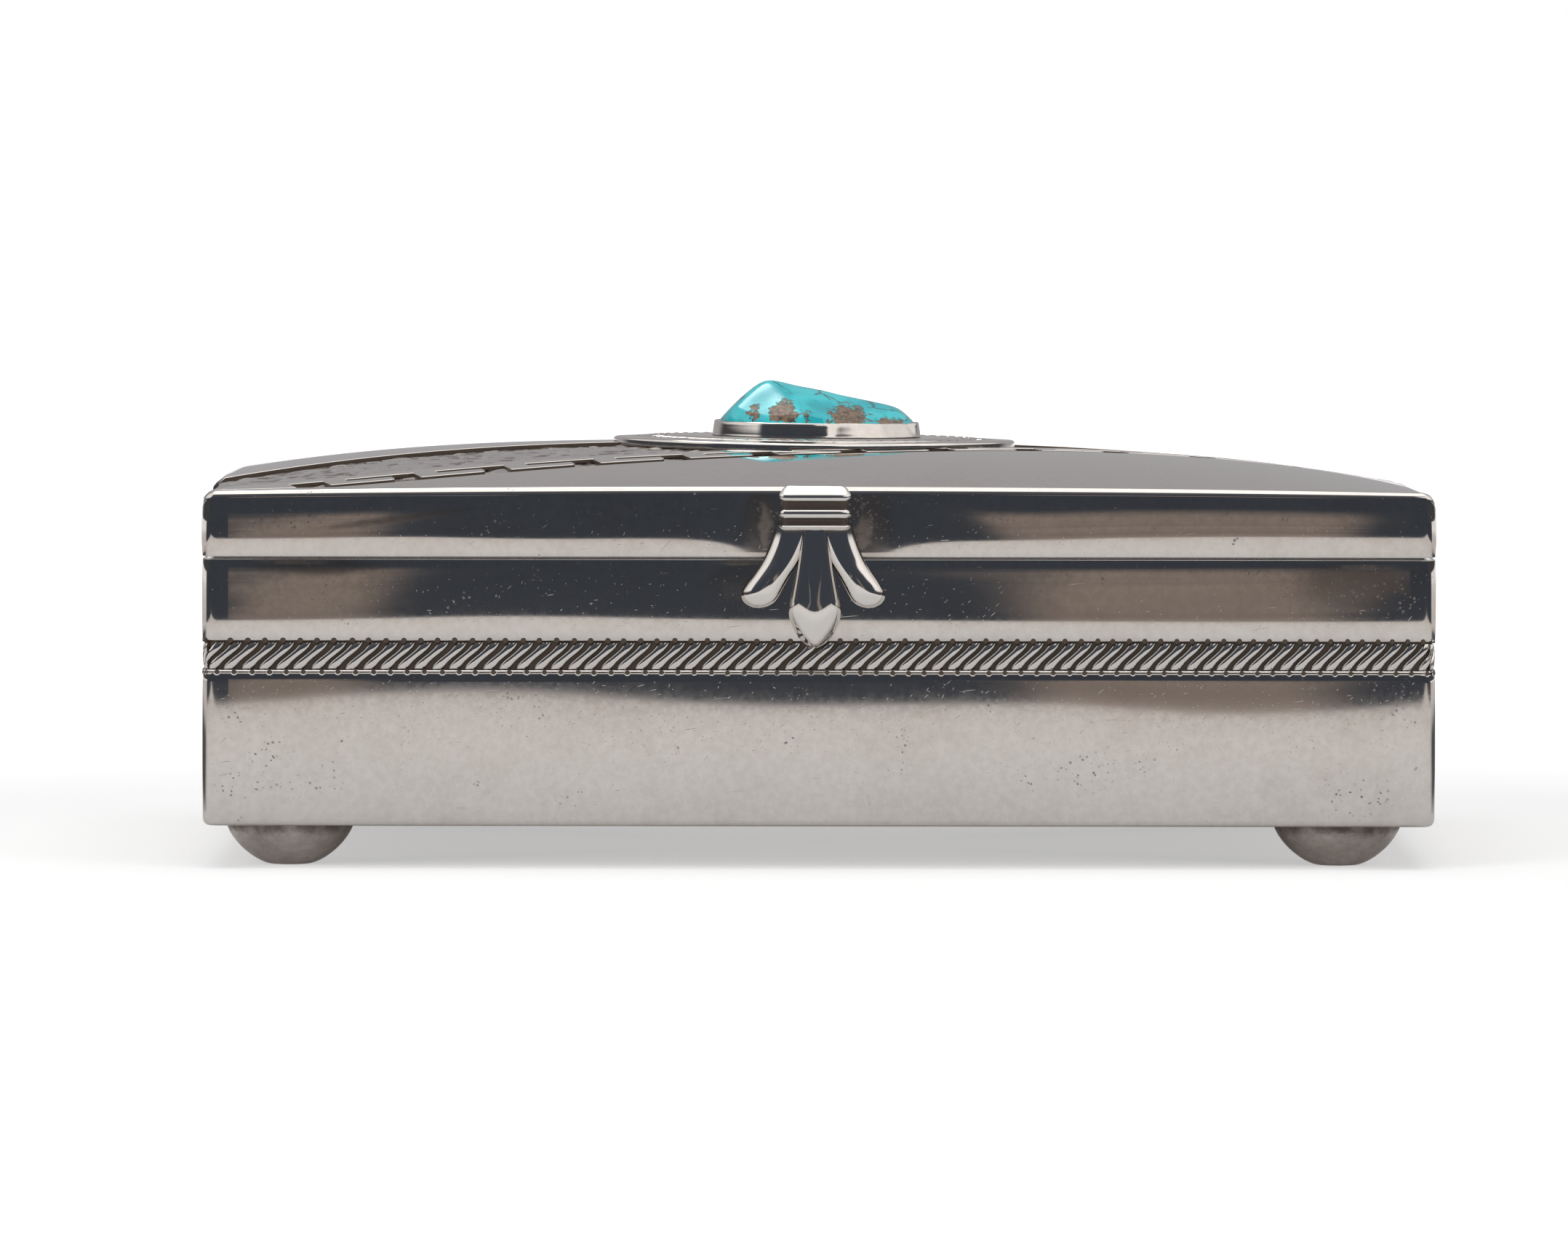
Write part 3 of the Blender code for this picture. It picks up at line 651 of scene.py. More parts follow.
@dataclass(frozen=True)
class TurquoiseFinish:
    """Polished turquoise with brown matrix.

    Attributes:
        name: The material's name.
        pale: The lighter blue.
        deep: The deeper blue.
        matrix: The tan of the matrix.
        vein: The dark brown of its veins.
    """

    name: str = "polished_turquoise"
    pale: Colour = (0.075, 0.87, 0.95)
    deep: Colour = (0.025, 0.58, 0.67)
    matrix: Colour = (0.30, 0.20, 0.125)
    vein: Colour = (0.075, 0.05, 0.036)

    def material(self) -> Material:
        """The stone as a material.

        Returns:
            The material.
        """
        material, bench, shader = new_material(self.name)
        place = bench.place()
        blues = bench.mix(bench.step(bench.noise(place, 230, 4.0, 0.6), 0.35, 0.68), self.pale, self.deep)
        cells = bench.get(
            "ShaderNodeTexVoronoi", bench.bent(place, 420, 3, 0.0022), Scale=190, feature="DISTANCE_TO_EDGE")
        web = bench.fall(cells, 0.0, 0.05) * bench.step(bench.noise(place, 260), 0.46, 0.58)
        painted = bench.attribute(Mark.GRIME)
        ragged = painted + (bench.noise(place, 620, 5.0, 0.75) * 2.2 - 1.1)
        patch = bench.step(ragged, 0.36, 0.46) * bench.step(painted, 0.05, 0.2)
        earth = bench.mix(bench.step(bench.noise(place, 1500, 4.0, 0.7), 0.40, 0.62), self.matrix, self.vein)
        bench.feed(shader, {
            "Base Color": bench.mix(patch, bench.mix(web * 0.75, blues, self.vein), earth),
            "Roughness": patch * 0.35 + 0.10,
            "Normal": bench.get("ShaderNodeBump", Height=0.0 - patch, Distance=0.00006, Strength=1.0),
            "IOR": 1.62,
        })
        return material


class Finishes:
    """Every material of the box, made once."""

    def __init__(self) -> None:
        """Make the materials."""
        self.effects = SharedEffects()
        self.wall = self.silver("worn_silver_wall", colour=(0.75, 0.72, 0.69), bloom=0.10, matt=0.15)
        self.lid = self.silver("worn_silver_lid", bloom=0.12, dents=0.03, grain=0.08)
        self.rope = self.silver("rope_silver", roughness=0.06, grain=0.05, bloom=0.15, scratches=0.1,
                                specks=0.0)
        self.thumb = self.silver(
            "thumb_silver", colour=(0.85, 0.82, 0.79), roughness=0.04, grain=0.04, bloom=0.02,
            scratches=0.15, specks=0.0, dents=0.02)
        self.ornament = self.silver("ornament_silver", roughness=0.08, bloom=0.14, scratches=0.4, specks=0.1)
        self.hammered = self.silver(
            "oxidised_hammered_silver", colour=(0.70, 0.67, 0.66), tarnish=(0.38, 0.31, 0.27),
            grime=(0.11, 0.086, 0.074), roughness=0.13, bloom=0.35, bloom_scale=140, specks=0.2,
            scratches=0.2)
        self.foot = self.silver(
            "tarnished_foot_silver", colour=(0.68, 0.62, 0.59), tarnish=(0.26, 0.20, 0.165), roughness=0.17,
            bloom=0.6, bloom_scale=190, scratches=0.5, specks=1.0, grain=0.3)
        self.satin = self.silver(
            "satin_silver_inside", colour=(0.68, 0.65, 0.62), tarnish=(0.36, 0.29, 0.23), roughness=0.27,
            bloom=0.3, bloom_scale=70, scratches=0.8)
        self.stone = TurquoiseFinish().material()

    def silver(self, name: str, **values: object) -> Material:
        """A silver with those values of its finish."""
        return SilverFinish(name, **values).material(self.effects)


@dataclass(frozen=True)
class BoxPlan:
    """The plan of the box: a rectangle with round corners, seen from above."""

    radius: float = 1.8 * MM
    corner_steps: int = 9
    spacing: float = 1.5 * MM

    def stations(self) -> tuple[Array, Array]:
        """Points round the plan, anticlockwise from the front left, and their outward normals."""
        signs = np.array(((-1, -1), (1, -1), (1, 1), (-1, 1)))
        reach = np.array((HALF_WIDTH - self.radius, HALF_DEPTH - self.radius))
        points: list[Array] = []
        normals: list[Array] = []
        for quarter in range(4):
            for turn in np.radians(np.linspace(180, 270, self.corner_steps + 1) + 90 * quarter):
                normals.append(np.array((cos(turn), sin(turn))))
                points.append(reach * signs[quarter] + self.radius * normals[-1])
            start = points[-1]
            end = reach * signs[(quarter + 1) % 4] + self.radius * normals[-1]
            steps = round(float(np.linalg.norm(end - start)) / self.spacing)
            for i in range(1, steps):
                points.append(start + (end - start) * i / steps)
                normals.append(normals[-1])
        return np.array(points), np.array(normals)

    def ring(self, inset: object, height: object, waves: tuple = (), calm: object = 0.0) -> Array:
        """A row of points round the box.

        Args:
            inset: How far in from the plan, for all points or for each.
            height: How high, for all points or for each.
            waves: The size, height and seed of the waves of hand work, where it has them.
            calm: How much weaker the waves are there.

        Returns:
            The points, one per row.
        """
        plan, normals = self.stations()
        points = at_height(plan, height)
        shift = -inset * np.ones(len(plan))
        if waves:
            shift = shift + wander(points, *waves) * (1 - 0.8 * calm) * front_share(normals)
        points[:, :2] += normals * shift[:, None]
        return points


def front_share(normals: Array) -> Array:
    """How much of the hand-made waves each wall shows: all on the front, a third elsewhere."""
    return 0.33 + 0.67 * smooth_step(-normals[:, 1], 0.6, 0.98)


@dataclass(frozen=True)
class LidSkin:
    """The lid's outer surface: a crown, a fall to the back, and a lean that grows with depth."""

    crown: float = 4.4 * MM
    width_power: float = 3.2
    depth_power: float = 2.4
    arch: float = 0.5 * MM
    fall: float = 1.1 * MM
    lean: float = 0.9 * MM
    roll: float = 1.9 * MM
    roll_drop: float = 1.7 * MM

    def height(self, x: Array, y: Array) -> Array:
        """The height of the skin over those places."""
        across = np.minimum(1, np.abs(x) / HALF_WIDTH)
        along = np.minimum(1, np.abs(y) / HALF_DEPTH)
        back = np.clip(0.5 + np.asarray(y) / (2 * HALF_DEPTH), 0, 1)
        arch = self.arch * (1 - across**2) - self.fall * back**2
        crown = self.crown * (1 - across**self.width_power) * (1 - along**self.depth_power)
        over = np.clip((np.abs(x) - (HALF_WIDTH - self.roll)) / self.roll, 0, 1)
        rolled = self.roll_drop * (1 - np.sqrt(1 - 0.9 * over**2))
        return LID_CORNER + arch + crown - rolled - self.lean * x / HALF_WIDTH * (1 - (1 - back) ** 3)

    def normals(self, x: Array, y: Array) -> Array:
        """The skin's unit normals at those places, one per row."""
        step = 0.05 * MM
        dx = (self.height(x + step, y) - self.height(x - step, y)) / (2 * step)
        dy = (self.height(x, y + step) - self.height(x, y - step)) / (2 * step)
        rows = np.column_stack((-dx, -dy, np.ones_like(dx)))
        return rows / np.linalg.norm(rows, axis=1)[:, None]


SKIN = LidSkin()
BLACK = (0.0, 0.0, 0.0)


@dataclass(frozen=True)
class Blot:
    """A soft oval patch on the front of the box.

    Attributes:
        mark: The mark it paints.
        x: Its middle, along the front.
        z: Its middle, in height.
        reach_x: How far it goes along the front.
        reach_z: How far it goes in height.
        depth: How strong it is in the middle.
        tilt: How much it rises for each metre along the front.
    """

    mark: Mark
    x: float
    z: float
    reach_x: float
    reach_z: float
    depth: float = 1.0
    tilt: float = 0.0

    def at(self, x: Array, z: Array) -> Array:
        """Its strength at those places."""
        dx = (x - self.x * MM) / (self.reach_x * MM)
        dz = (z - self.z * MM - self.tilt * (x - self.x * MM)) / (self.reach_z * MM)
        return self.depth * np.exp(-((dx**2 + dz**2) ** 1.6))


def front_marks(
    points: Array, blots: Iterable[Blot], face: float = -HALF_DEPTH + 1.2 * MM,
) -> dict[str, Array]:
    """The marks that the blots paint on the front.

    Args:
        points: The mesh's points, one per row.
        blots: What to paint.
        face: Points in front of this are on the front.

    Returns:
        A number for each point, by the mark's name.
    """
    front = points[:, 1] < face
    marks = {mark.value: np.zeros(len(points)) for mark in Mark}
    for blot in blots:
        value = blot.at(points[:, 0], points[:, 2]) * front
        marks[blot.mark.value] = np.maximum(marks[blot.mark.value], value)
    return marks


def band_profile(
    low: float, high: float, swell: float, rounds: Pair, spacing: float, power: float = 2.0,
) -> list[Pair]:
    """The outer side of a band of metal, from its bottom to its top.

    Args:
        low: The height of its bottom.
        high: The height of its top.
        swell: How far its middle stands out.
        rounds: The radii of its lower and upper edges.
        spacing: How far apart the rows are.
        power: How flat its middle is.

    Returns:
        The inset and height of each row.
    """
    start, end = low + rounds[0], high - rounds[1]
    rows = []
    for turn in np.linspace(0, pi / 2, 5)[:-1]:
        rows.append((rounds[0] * (1 - sin(turn)), low + rounds[0] * (1 - cos(turn))))
    count = max(2, round((end - start) / spacing))
    for i in range(count + 1):
        t = i / count
        rows.append((-swell * (1 - abs(2 * t - 1) ** power), start + (end - start) * t))
    for turn in np.linspace(0, pi / 2, 5)[1:]:
        rows.append((rounds[1] * (1 - cos(turn)), high - rounds[1] * (1 - sin(turn))))
    return rows


@dataclass(frozen=True)
class CaseShell:
    """The bent strip of the case, its base and the inner lip."""

    plan: BoxPlan = BoxPlan()
    lower_swell: float = 0.035 * MM
    upper_swell: float = 0.088 * MM
    edge: float = 0.3 * MM
    seam_edge: float = 0.08 * MM
    foot_edge: float = 0.9 * MM
    recess: float = 0.85 * MM
    wobble: float = 0.09 * MM
    base: float = 1.2 * MM
    lip_wall: float = 0.9 * MM
    lip_rise: float = 2.6 * MM
    lip_seat: float = 7.0 * MM
    blots: tuple[Blot, ...] = (
        Blot(Mark.HAZE, 66, 35.4, 9, 2.6, 0.8),
        Blot(Mark.HAZE, -62, 37.4, 8, 1.2, 0.9),
        Blot(Mark.HAZE, -9, 35.5, 5, 3.5, 0.7),
        Blot(Mark.GRIME, -64, 38.0, 8, 0.7, 0.5),
        Blot(Mark.GRIME, -8, 37.9, 9, 0.7, 0.5),
        Blot(Mark.GRIME, 68, 37.4, 7, 0.8, 0.46),
        Blot(Mark.SPECKS, 64, 35.6, 4.5, 1.8, 0.9),
        Blot(Mark.SPECKS, 71.5, 34.6, 2.6, 2.6, 0.8),
        Blot(Mark.SPECKS, -67.5, 14.2, 2.6, 1.6),
        Blot(Mark.SPECKS, -71.5, 10.2, 2.8, 1.6, 0.9),
        Blot(Mark.SPECKS, -66, 9.6, 1.6, 1.2, 0.9),
        Blot(Mark.SPECKS, -61, 10.4, 1.8, 1.2, 0.9),
        Blot(Mark.SPECKS, 66, 9.2, 4.5, 2.4, 0.8),
        Blot(Mark.SPECKS, 33, 12.0, 3.5, 2.4, 0.7),
        Blot(Mark.SPECKS, -3.6, 15.5, 1.2, 1.2, 0.8),
    )

    def rows(self) -> list[Pair]:
        """The inset and height of each row, up the outside and down the inside."""
        lower = band_profile(CASE_BOTTOM, ROPE_BOTTOM, self.lower_swell, (self.foot_edge, self.edge),
                             0.9 * MM)
        upper = band_profile(ROPE_TOP, CASE_TOP, self.upper_swell, (self.edge, self.seam_edge), 0.5 * MM,
                             4.0)
        sunk = [(self.recess, ROPE_BOTTOM + 0.01 * MM), (self.recess, ROPE_TOP - 0.01 * MM)]
        inside = [(WALL - 0.1 * MM, CASE_TOP), (WALL, CASE_TOP - 0.1 * MM), (WALL, CASE_BOTTOM)]
        return lower + sunk + upper + inside

    def wall_mesh(self) -> Mesh:
        """The bent strip, with the small waves of hand work on its outside."""
        waves = (34 * MM, self.wobble, 3.1)
        rings = [
            self.plan.ring(inset, height, waves if inset <= self.edge else ()) for inset, height in self.rows()]
        flat = np.concatenate(rings)
        marks = front_marks(flat, self.blots)
        in_recess = np.abs(flat[:, 2] - (ROPE_BOTTOM + ROPE_TOP) / 2) < (ROPE_TOP - ROPE_BOTTOM) / 2
        marks[Mark.GRIME.value] = np.maximum(marks[Mark.GRIME.value], in_recess)
        return MeshDraft().add_rings(rings, closed=True, **marks).finish("case_shell")

    def base_mesh(self) -> Mesh:
        """The base, a plate with eased edges."""
        low, high = CASE_BOTTOM, CASE_BOTTOM + self.base
        inner = WALL + 0.02 * MM
        rows = ((8 * MM, low), (inner + 0.2 * MM, low), (inner, low + 0.1 * MM), (inner, high))
        rings = [self.plan.ring(inset, height) for inset, height in rows]
        top = self.plan.ring(inner + 0.1 * MM, high)
        rings += [top * (share, share, 1) for share in (1.0, 0.93, 0.8, 0.55, 0.3)]
        return MeshDraft().add_rings(rings).finish("case_floor")

    def lip_mesh(self) -> Mesh:
        """The strip inside the case that the lid drops over."""
        inner = WALL + 0.02 * MM
        back = inner + self.lip_wall
        low, high, edge = CASE_TOP - self.lip_seat, CASE_TOP + self.lip_rise, self.edge
        rows = [(inner, low), (inner, high - edge)]
        rows += [(inner + edge * (1 - cos(t)), high - edge * (1 - sin(t))) for t in (0.4, 0.8, 1.2, pi / 2)]
        rows += [(back - 0.1 * MM, high), (back, high - 0.1 * MM), (back, low)]
        rings = [self.plan.ring(inset, height) for inset, height in rows]
        return MeshDraft().add_rings(rings, closed=True).finish("inner_collar")

    def build(self, finishes: Finishes) -> None:
        """Build and dress the three pieces."""
        fit("case_shell", self.wall_mesh(), finishes.wall, Body.CASE, Slot.POLISHED, "case_wall")
        fit("case_floor", self.base_mesh(), finishes.satin, Body.CASE, Slot.SATIN, "base_plate")
        fit("inner_collar", self.lip_mesh(), finishes.satin, Body.CASE, Slot.SATIN, "inner_lip")


@dataclass(frozen=True)
class RopeBorder:
    """The four stamped strips of slanting strands."""

    pitch: float = 2.015 * MM
    slant: float = 3.5 * MM
    strand: float = 1.46 * MM
    bow: float = 0.34 * MM
    drift: float = 0.072
    shoulder: float = 0.30 * MM
    crown: float = 0.12 * MM
    floor: float = 0.55 * MM
    corner: float = BoxPlan.radius
    rail: float = 0.26 * MM
    jitter: float = 0.09 * MM

    def tile_mesh(self) -> Mesh:
        """One strand, with the pits at the ends of the groove beside it."""
        height = ROPE_TOP - ROPE_BOTTOM
        low, high = -height / 2 + 0.42 * MM, height / 2 - 0.22 * MM
        rings, grime = [], []
        for v in np.linspace(0, 1, 8):
            z = low + (high - low) * v
            lean = (z / height) * self.slant + self.bow * sin(2 * pi * (v - 0.5)) * 0.5
            taper = 1 - 0.55 * abs(2 * v - 1) ** 5
            half = self.strand / 2 * (0.82 + 0.18 * taper)
            ring = []
            for u in np.sin(np.linspace(-pi / 2, pi / 2, 9)):
                shoulder = sqrt(max(0.0, 1 - u**4))
                crown = 1 - (u + 0.3) ** 2 / 1.69
                rise = 0.14 * MM + (self.shoulder * shoulder + self.crown * crown) * taper
                ring.append((lean + half * u, self.floor - rise, z))
                grime.append(0.85 * (1 - shoulder) ** 2)
            ring += [(lean + half, self.floor + 0.1 * MM, z), (lean - half, self.floor + 0.1 * MM, z)]
            grime += [1.0, 1.0]
            rings.append(ring)
        draft = MeshDraft().add_rings(rings, grime=grime)
        for end, drop, radius in ((1, 0.09 * MM, 0.34 * MM), (-1, -0.02 * MM, 0.31 * MM)):
            z = end * (height / 2 + drop)
            self.add_pit(draft, (z / height) * self.slant + self.pitch / 2, z, radius, end < 0)
        return draft.finish("rope_tile", 60)

    def add_pit(self, draft: MeshDraft, x: float, z: float, radius: float, rimmed: bool) -> None:
        """Add the round dark end of a groove.

        Args:
            draft: Where it goes.
            x: Its middle, along the strip.
            z: Its middle, in height.
            radius: Its radius.
            rimmed: Lay a bright rim under it.
        """
        rings = []
        for share, proud in ((1.0, 0.30), (1.0, -0.035), (0.6, -0.06)):
            rings.append([
                (x + radius * share * cos(t), proud * MM, z + radius * share * sin(t)) for t in around(8)])
        draft.add_rings(rings, grime=1.0)
        if not rimmed:
            return
        rings = []
        for turn in np.linspace(radians(160), radians(380), 8):
            middle_x, middle_z = (x + (radius + 0.05 * MM) * cos(turn), z + (radius + 0.05 * MM) * sin(turn))
            ring = []
            for roll in np.radians((0, 90, 180, 270)):
                reach = 0.07 * MM * cos(roll)
                y = -0.03 * MM - 0.07 * MM * sin(roll)
                ring.append((middle_x + reach * cos(turn), y, middle_z + reach * sin(turn)))
            rings.append(ring)
        draft.add_rings(rings)

    def tree(self) -> Tree:
        """The node tree that lays tiles in a row.

        Returns:
            The tree, with inputs for the count, the pitch, the unevenness, its seed and the finish.
        """
        inputs = {
            "Tile": SHAPE, "Count": 10, "Pitch": 0.002, "Drift": 0.05, "Half Length": 0.07,
            "Unevenness": 0.0001, "Seed": 1, "Finish": FINISH,
        }
        bench, given = new_group("rope_row", "GeometryNodeTree", inputs, {"Shape": SHAPE})
        count, pitch, drift = given["Count"], given["Pitch"], given["Drift"]
        half, far = given["Half Length"], given["Unevenness"] * -1
        start = bench.xyz((count - 1) * pitch * -0.5)
        line = bench.get("GeometryNodeMeshLine", Count=count, Start_Location=start, Offset=bench.xyz(pitch))
        low = bench.xyz(far, 0.0, far * 0.4)
        shift = bench.get(
            "FunctionNodeRandomValue", low, bench.vector("SCALE", low, Scale=-1), Seed=given["Seed"],
            data_type="FLOAT_VECTOR")
        share = bench.axes(bench.get("GeometryNodeInputPosition"))["X"] / half
        bend = (1.0 - share * share) * drift * half * 0.5
        size = bench.xyz(1.0 - share * drift, 1.0, 1.0)
        sized = bench.get(
            "GeometryNodeStoreNamedAttribute", Geometry=line, Name="size", Value=size,
            data_type="FLOAT_VECTOR")
        warp = bench.vector("ADD", shift, bench.xyz(bend))
        moved = bench.get("GeometryNodeSetPosition", Geometry=sized, Offset=warp)
        kept = bench.get("GeometryNodeInputNamedAttribute", "size", data_type="FLOAT_VECTOR")
        placed = bench.get("GeometryNodeInstanceOnPoints", Points=moved, Instance=given["Tile"], Scale=kept)
        return bench.put_shape(placed, given["Finish"])

    def backing(self, draft: MeshDraft, half: float) -> None:
        """Add the sunk floor behind the strands and the rail under them.

        Args:
            draft: Where they go.
            half: Half the strip's length.
        """
        top, back = (ROPE_TOP - ROPE_BOTTOM) / 2, 0.8 * MM
        bend = half - self.corner * pi / 4
        xs = np.concatenate((
            np.linspace(-half, -bend, 7)[:-1], np.linspace(-bend, bend, 60), np.linspace(bend, half, 7)[1:]))
        floor_edge = ((back, -top), (self.floor, -top), (self.floor, top), (back, top))
        draft.add_rings([[(x, y, z) for y, z in floor_edge] for x in xs], grime=1.0)
        middle = -top + 0.16 * MM
        rail_edge = [(self.rail - 0.02 * MM + self.rail * cos(t), middle + 0.17 * MM * sin(t))
                     for t in around(8)]
        draft.add_rings([[(x, y, z) for y, z in rail_edge] for x in xs])

    def wrapped(self, points: Array, along: float) -> list[Place]:
        """A straight strip's points, with its ends bent round the corners of the box.

        Args:
            points: The points, with the wall's surface at y = 0.
            along: Half the length of the wall.

        Returns:
            The points of the bent strip.
        """
        start = along - self.corner
        turn = np.maximum(np.abs(points[:, 0]) - start, 0) / self.corner
        reach = self.corner - points[:, 1]
        bent = points.copy()
        bent[:, 0] = np.where(turn > 0, np.sign(points[:, 0]) * (start + reach * np.sin(turn)), points[:, 0])
        bent[:, 1] = np.where(turn > 0, self.corner - reach * np.cos(turn), points[:, 1])
        return [tuple(point) for point in bent.tolist()]

    def build(self, finishes: Finishes) -> None:
        """Build and dress the four strips."""
        tree = self.tree()
        for side in Side:
            label = side.name.lower()
            along, across = (HALF_DEPTH, HALF_WIDTH) if side.value % 2 else (HALF_WIDTH, HALF_DEPTH)
            half = along - self.corner + self.corner * pi / 4
            row = grown(self.tile_mesh(), tree, {
                "Count": int(2 * (half + self.slant / 4) / self.pitch) + 1,
                "Pitch": self.pitch,
                "Drift": self.drift,
                "Half Length": half,
                "Unevenness": self.jitter,
                "Seed": 11 + side.value,
                "Finish": finishes.rope,
            })
            for vertex in row.vertices:
                over = max(0.0, abs(vertex.co.x) - half)
                vertex.co.x -= copysign(over * 0.99, vertex.co.x)
            draft = MeshDraft().take(row)
            self.backing(draft, half)
            draft.points = self.wrapped(np.array(draft.points), along)
            mesh = draft.finish(f"rope_{label}", 60)
            middle = Matrix.Translation((0, -across, (ROPE_BOTTOM + ROPE_TOP) / 2))
            mesh.transform(Matrix.Rotation(side.value * pi / 2, 4, "Z") @ middle)
            fit(f"rope_strands_{label}", mesh, finishes.rope, Body.CASE, Slot.POLISHED,
                f"rope_border_{label}")


@dataclass(frozen=True)
class ButtonFeet:
    """Four low buttons, flat where they stand."""

    height: float = 5.28 * MM
    radius: float = 7.95 * MM
    pad: float = 2.4 * MM
    x: float = 65 * MM
    y: float = 38 * MM
    shift: float = -0.6 * MM
    power: float = 1.5

    def mesh(self, name: str, x: float, y: float) -> Mesh:
        """One button at that place, from its flat pad up."""
        rows, grime = [(self.pad * 0.5, 0.0), (self.pad * 0.85, 0.0)], [0.0, 0.0]
        for i in range(25):
            share = (i / 24) ** 2
            wide = (1 - (1 - share) ** self.power) ** (1 / self.power)
            rows.append((self.pad + (self.radius - self.pad) * wide, self.height * share))
            # Darker towards the top, where the foot meets the case.
            grime.append(0.52 * float(smooth_step(share, 0.35, 0.95)))
        rings = [[(reach * cos(t), reach * sin(t), z) for t in around(64)] for reach, z in rows]
        mesh = MeshDraft().add_rings(rings, grime=np.repeat(grime, 64)).finish(name)
        mesh.transform(Matrix.Translation((x, y, 0)))
        return mesh

    def build(self, finishes: Finishes) -> None:
        """Build and dress the four feet."""
        for end, sy in (("front", -1), ("back", 1)):
            for side, sx in (("left", -1), ("right", 1)):
                name = f"button_foot_{end}_{side}"
                mesh = self.mesh(name, self.shift + sx * self.x, sy * self.y)
                fit(name, mesh, finishes.foot, Body.CASE, Slot.SATIN, f"foot_{end}_{side}")


@dataclass(frozen=True)
class Sash:
    """The sunk band across the lid and the running fret along its front."""

    tilt: float = radians(19)
    near: float = 24.71 * MM
    far: float = 3.39 * MM
    pitch: float = 11.7 * MM
    channel: float = 1.9 * MM
    finger: float = 2.0 * MM
    slot: float = 1.4 * MM
    strip: float = 2.3 * MM
    stem: float = 2.8 * MM
    mouth: float = 3.2 * MM
    tip: float = 0.8 * MM
    shift: float = -1.4 * MM
    closed: float = -76 * MM
    seam: float = 0.04 * MM
    shelf: float = 2.3 * MM

    def place(self, u: float, v: float) -> Pair:
        """The place on the lid of a point u along the sash and v across it."""
        c, s = cos(self.tilt), sin(self.tilt)
        return (u * c - v * s, u * s + v * c)

    def on_lid(self, u: float, v: float) -> bool:
        """True where that point of the sash lies on the lid."""
        x, y = self.place(u, v)
        return abs(x) < HALF_WIDTH and abs(y) < HALF_DEPTH

    def fret(self) -> list[Pair]:
        """The fret's outline, a strip with hooks that open to the right."""
        front = self.channel + self.finger + self.slot - self.near
        back, fore = front - self.slot, front - self.slot - self.finger
        reach = hypot(2 * HALF_WIDTH, 2 * HALF_DEPTH) / 2
        first, last = floor((-reach - self.shift) / self.pitch), ceil((reach - self.shift) / self.pitch)
        corner = self.seam - self.near
        points = [(self.shift + first * self.pitch, corner), (self.closed, corner), (self.closed, front)]
        for k in range(first, last):
            start = self.shift + k * self.pitch
            if start < self.closed:
                continue
            tip = start + self.pitch - self.mouth
            if not (self.on_lid(start, front) and self.on_lid(start + self.stem, front)):
                points.append((start, front))
                continue
            points += [(start, front), (start, fore)]
            for turn in np.linspace(-pi / 2, 0, 6):
                points.append((tip - self.tip + self.tip * cos(turn),
                               fore + self.tip + self.tip * sin(turn)))
            points += [(tip, back), (start + self.stem, back), (start + self.stem, front)]
        end = self.shift + last * self.pitch
        points += [(end, front), (end, front + self.strip),
                   (self.shift + first * self.pitch, front + self.strip)]
        return [self.place(u, v) for u, v in points]

    def strip_back(self) -> float:
        """How far across the sash the fret's strip ends and the open floor begins."""
        return self.channel + self.finger + self.slot + self.strip - self.near


def clipped(outline: Sequence[Sequence[float]], planes: Iterable[tuple[Vector, Vector]]) -> Array:
    """The part of a flat outline that lies behind all planes.

    Args:
        outline: Its points, in order.
        planes: A point and an outward normal for each plane.

    Returns:
        The points of the part, anticlockwise, one per row.
    """
    points = [Vector((x, y, 0)) for x, y in outline]
    for place, normal in planes:
        kept = []
        for here, after in zip(points, points[1:] + points[:1]):
            near, far = (here - place).dot(normal), (after - place).dot(normal)
            if near <= 0:
                kept.append(here)
            if near * far < 0:
                kept.append(here.lerp(after, near / (near - far)))
        points = kept
    x, y = np.array([point[:2] for point in points]).T
    area = np.sum(x * np.roll(y, -1) - np.roll(x, -1) * y)
    part = np.column_stack((x, y))
    return part if area > 0 else part[::-1]


def eased(outline: Array, radius: float, spacing: float) -> Array:
    """The outline with its corners rounded and its long sides divided.

    Args:
        outline: Its points, one per row.
        radius: The radius of the corners.
        spacing: The longest step along a side.

    Returns:
        The new points, one per row.
    """
    points = []
    count = len(outline)
    for i in range(count):
        before, here, after = outline[i - 1], outline[i], outline[(i + 1) % count]
        a, b = before - here, after - here
        la, lb = np.linalg.norm(a), np.linalg.norm(b)
        turn = acos(float(np.clip(np.dot(a, b) / (la * lb), -1, 1)))
        cut = min(radius / max(tan(turn / 2), 1e-6), 0.45 * la, 0.45 * lb)
        if turn > radians(165):
            points.append(here)
            continue
        start, end = here + a / la * cut, here + b / lb * cut
        for t in np.linspace(0, 1, 5):
            points.append((1 - t) ** 2 * start + 2 * t * (1 - t) * here + t**2 * end)
    divided = []
    for here, after in zip(points, points[1:] + points[:1]):
        steps = max(1, ceil(np.linalg.norm(after - here) / spacing))
        divided += [here + (after - here) * i / steps for i in range(steps)]
    return np.array(divided)


def outline_normals(outline: Array) -> Array:
    """The outward normals at the points of an anticlockwise outline."""
    ahead = np.roll(outline, -1, axis=0) - outline
    ahead /= np.maximum(np.linalg.norm(ahead, axis=1), 1e-12)[:, None]
    sides = np.column_stack((ahead[:, 1], -ahead[:, 0]))
    mean = sides + np.roll(sides, 1, axis=0)
    return mean / np.maximum(np.linalg.norm(mean, axis=1), 1e-12)[:, None]


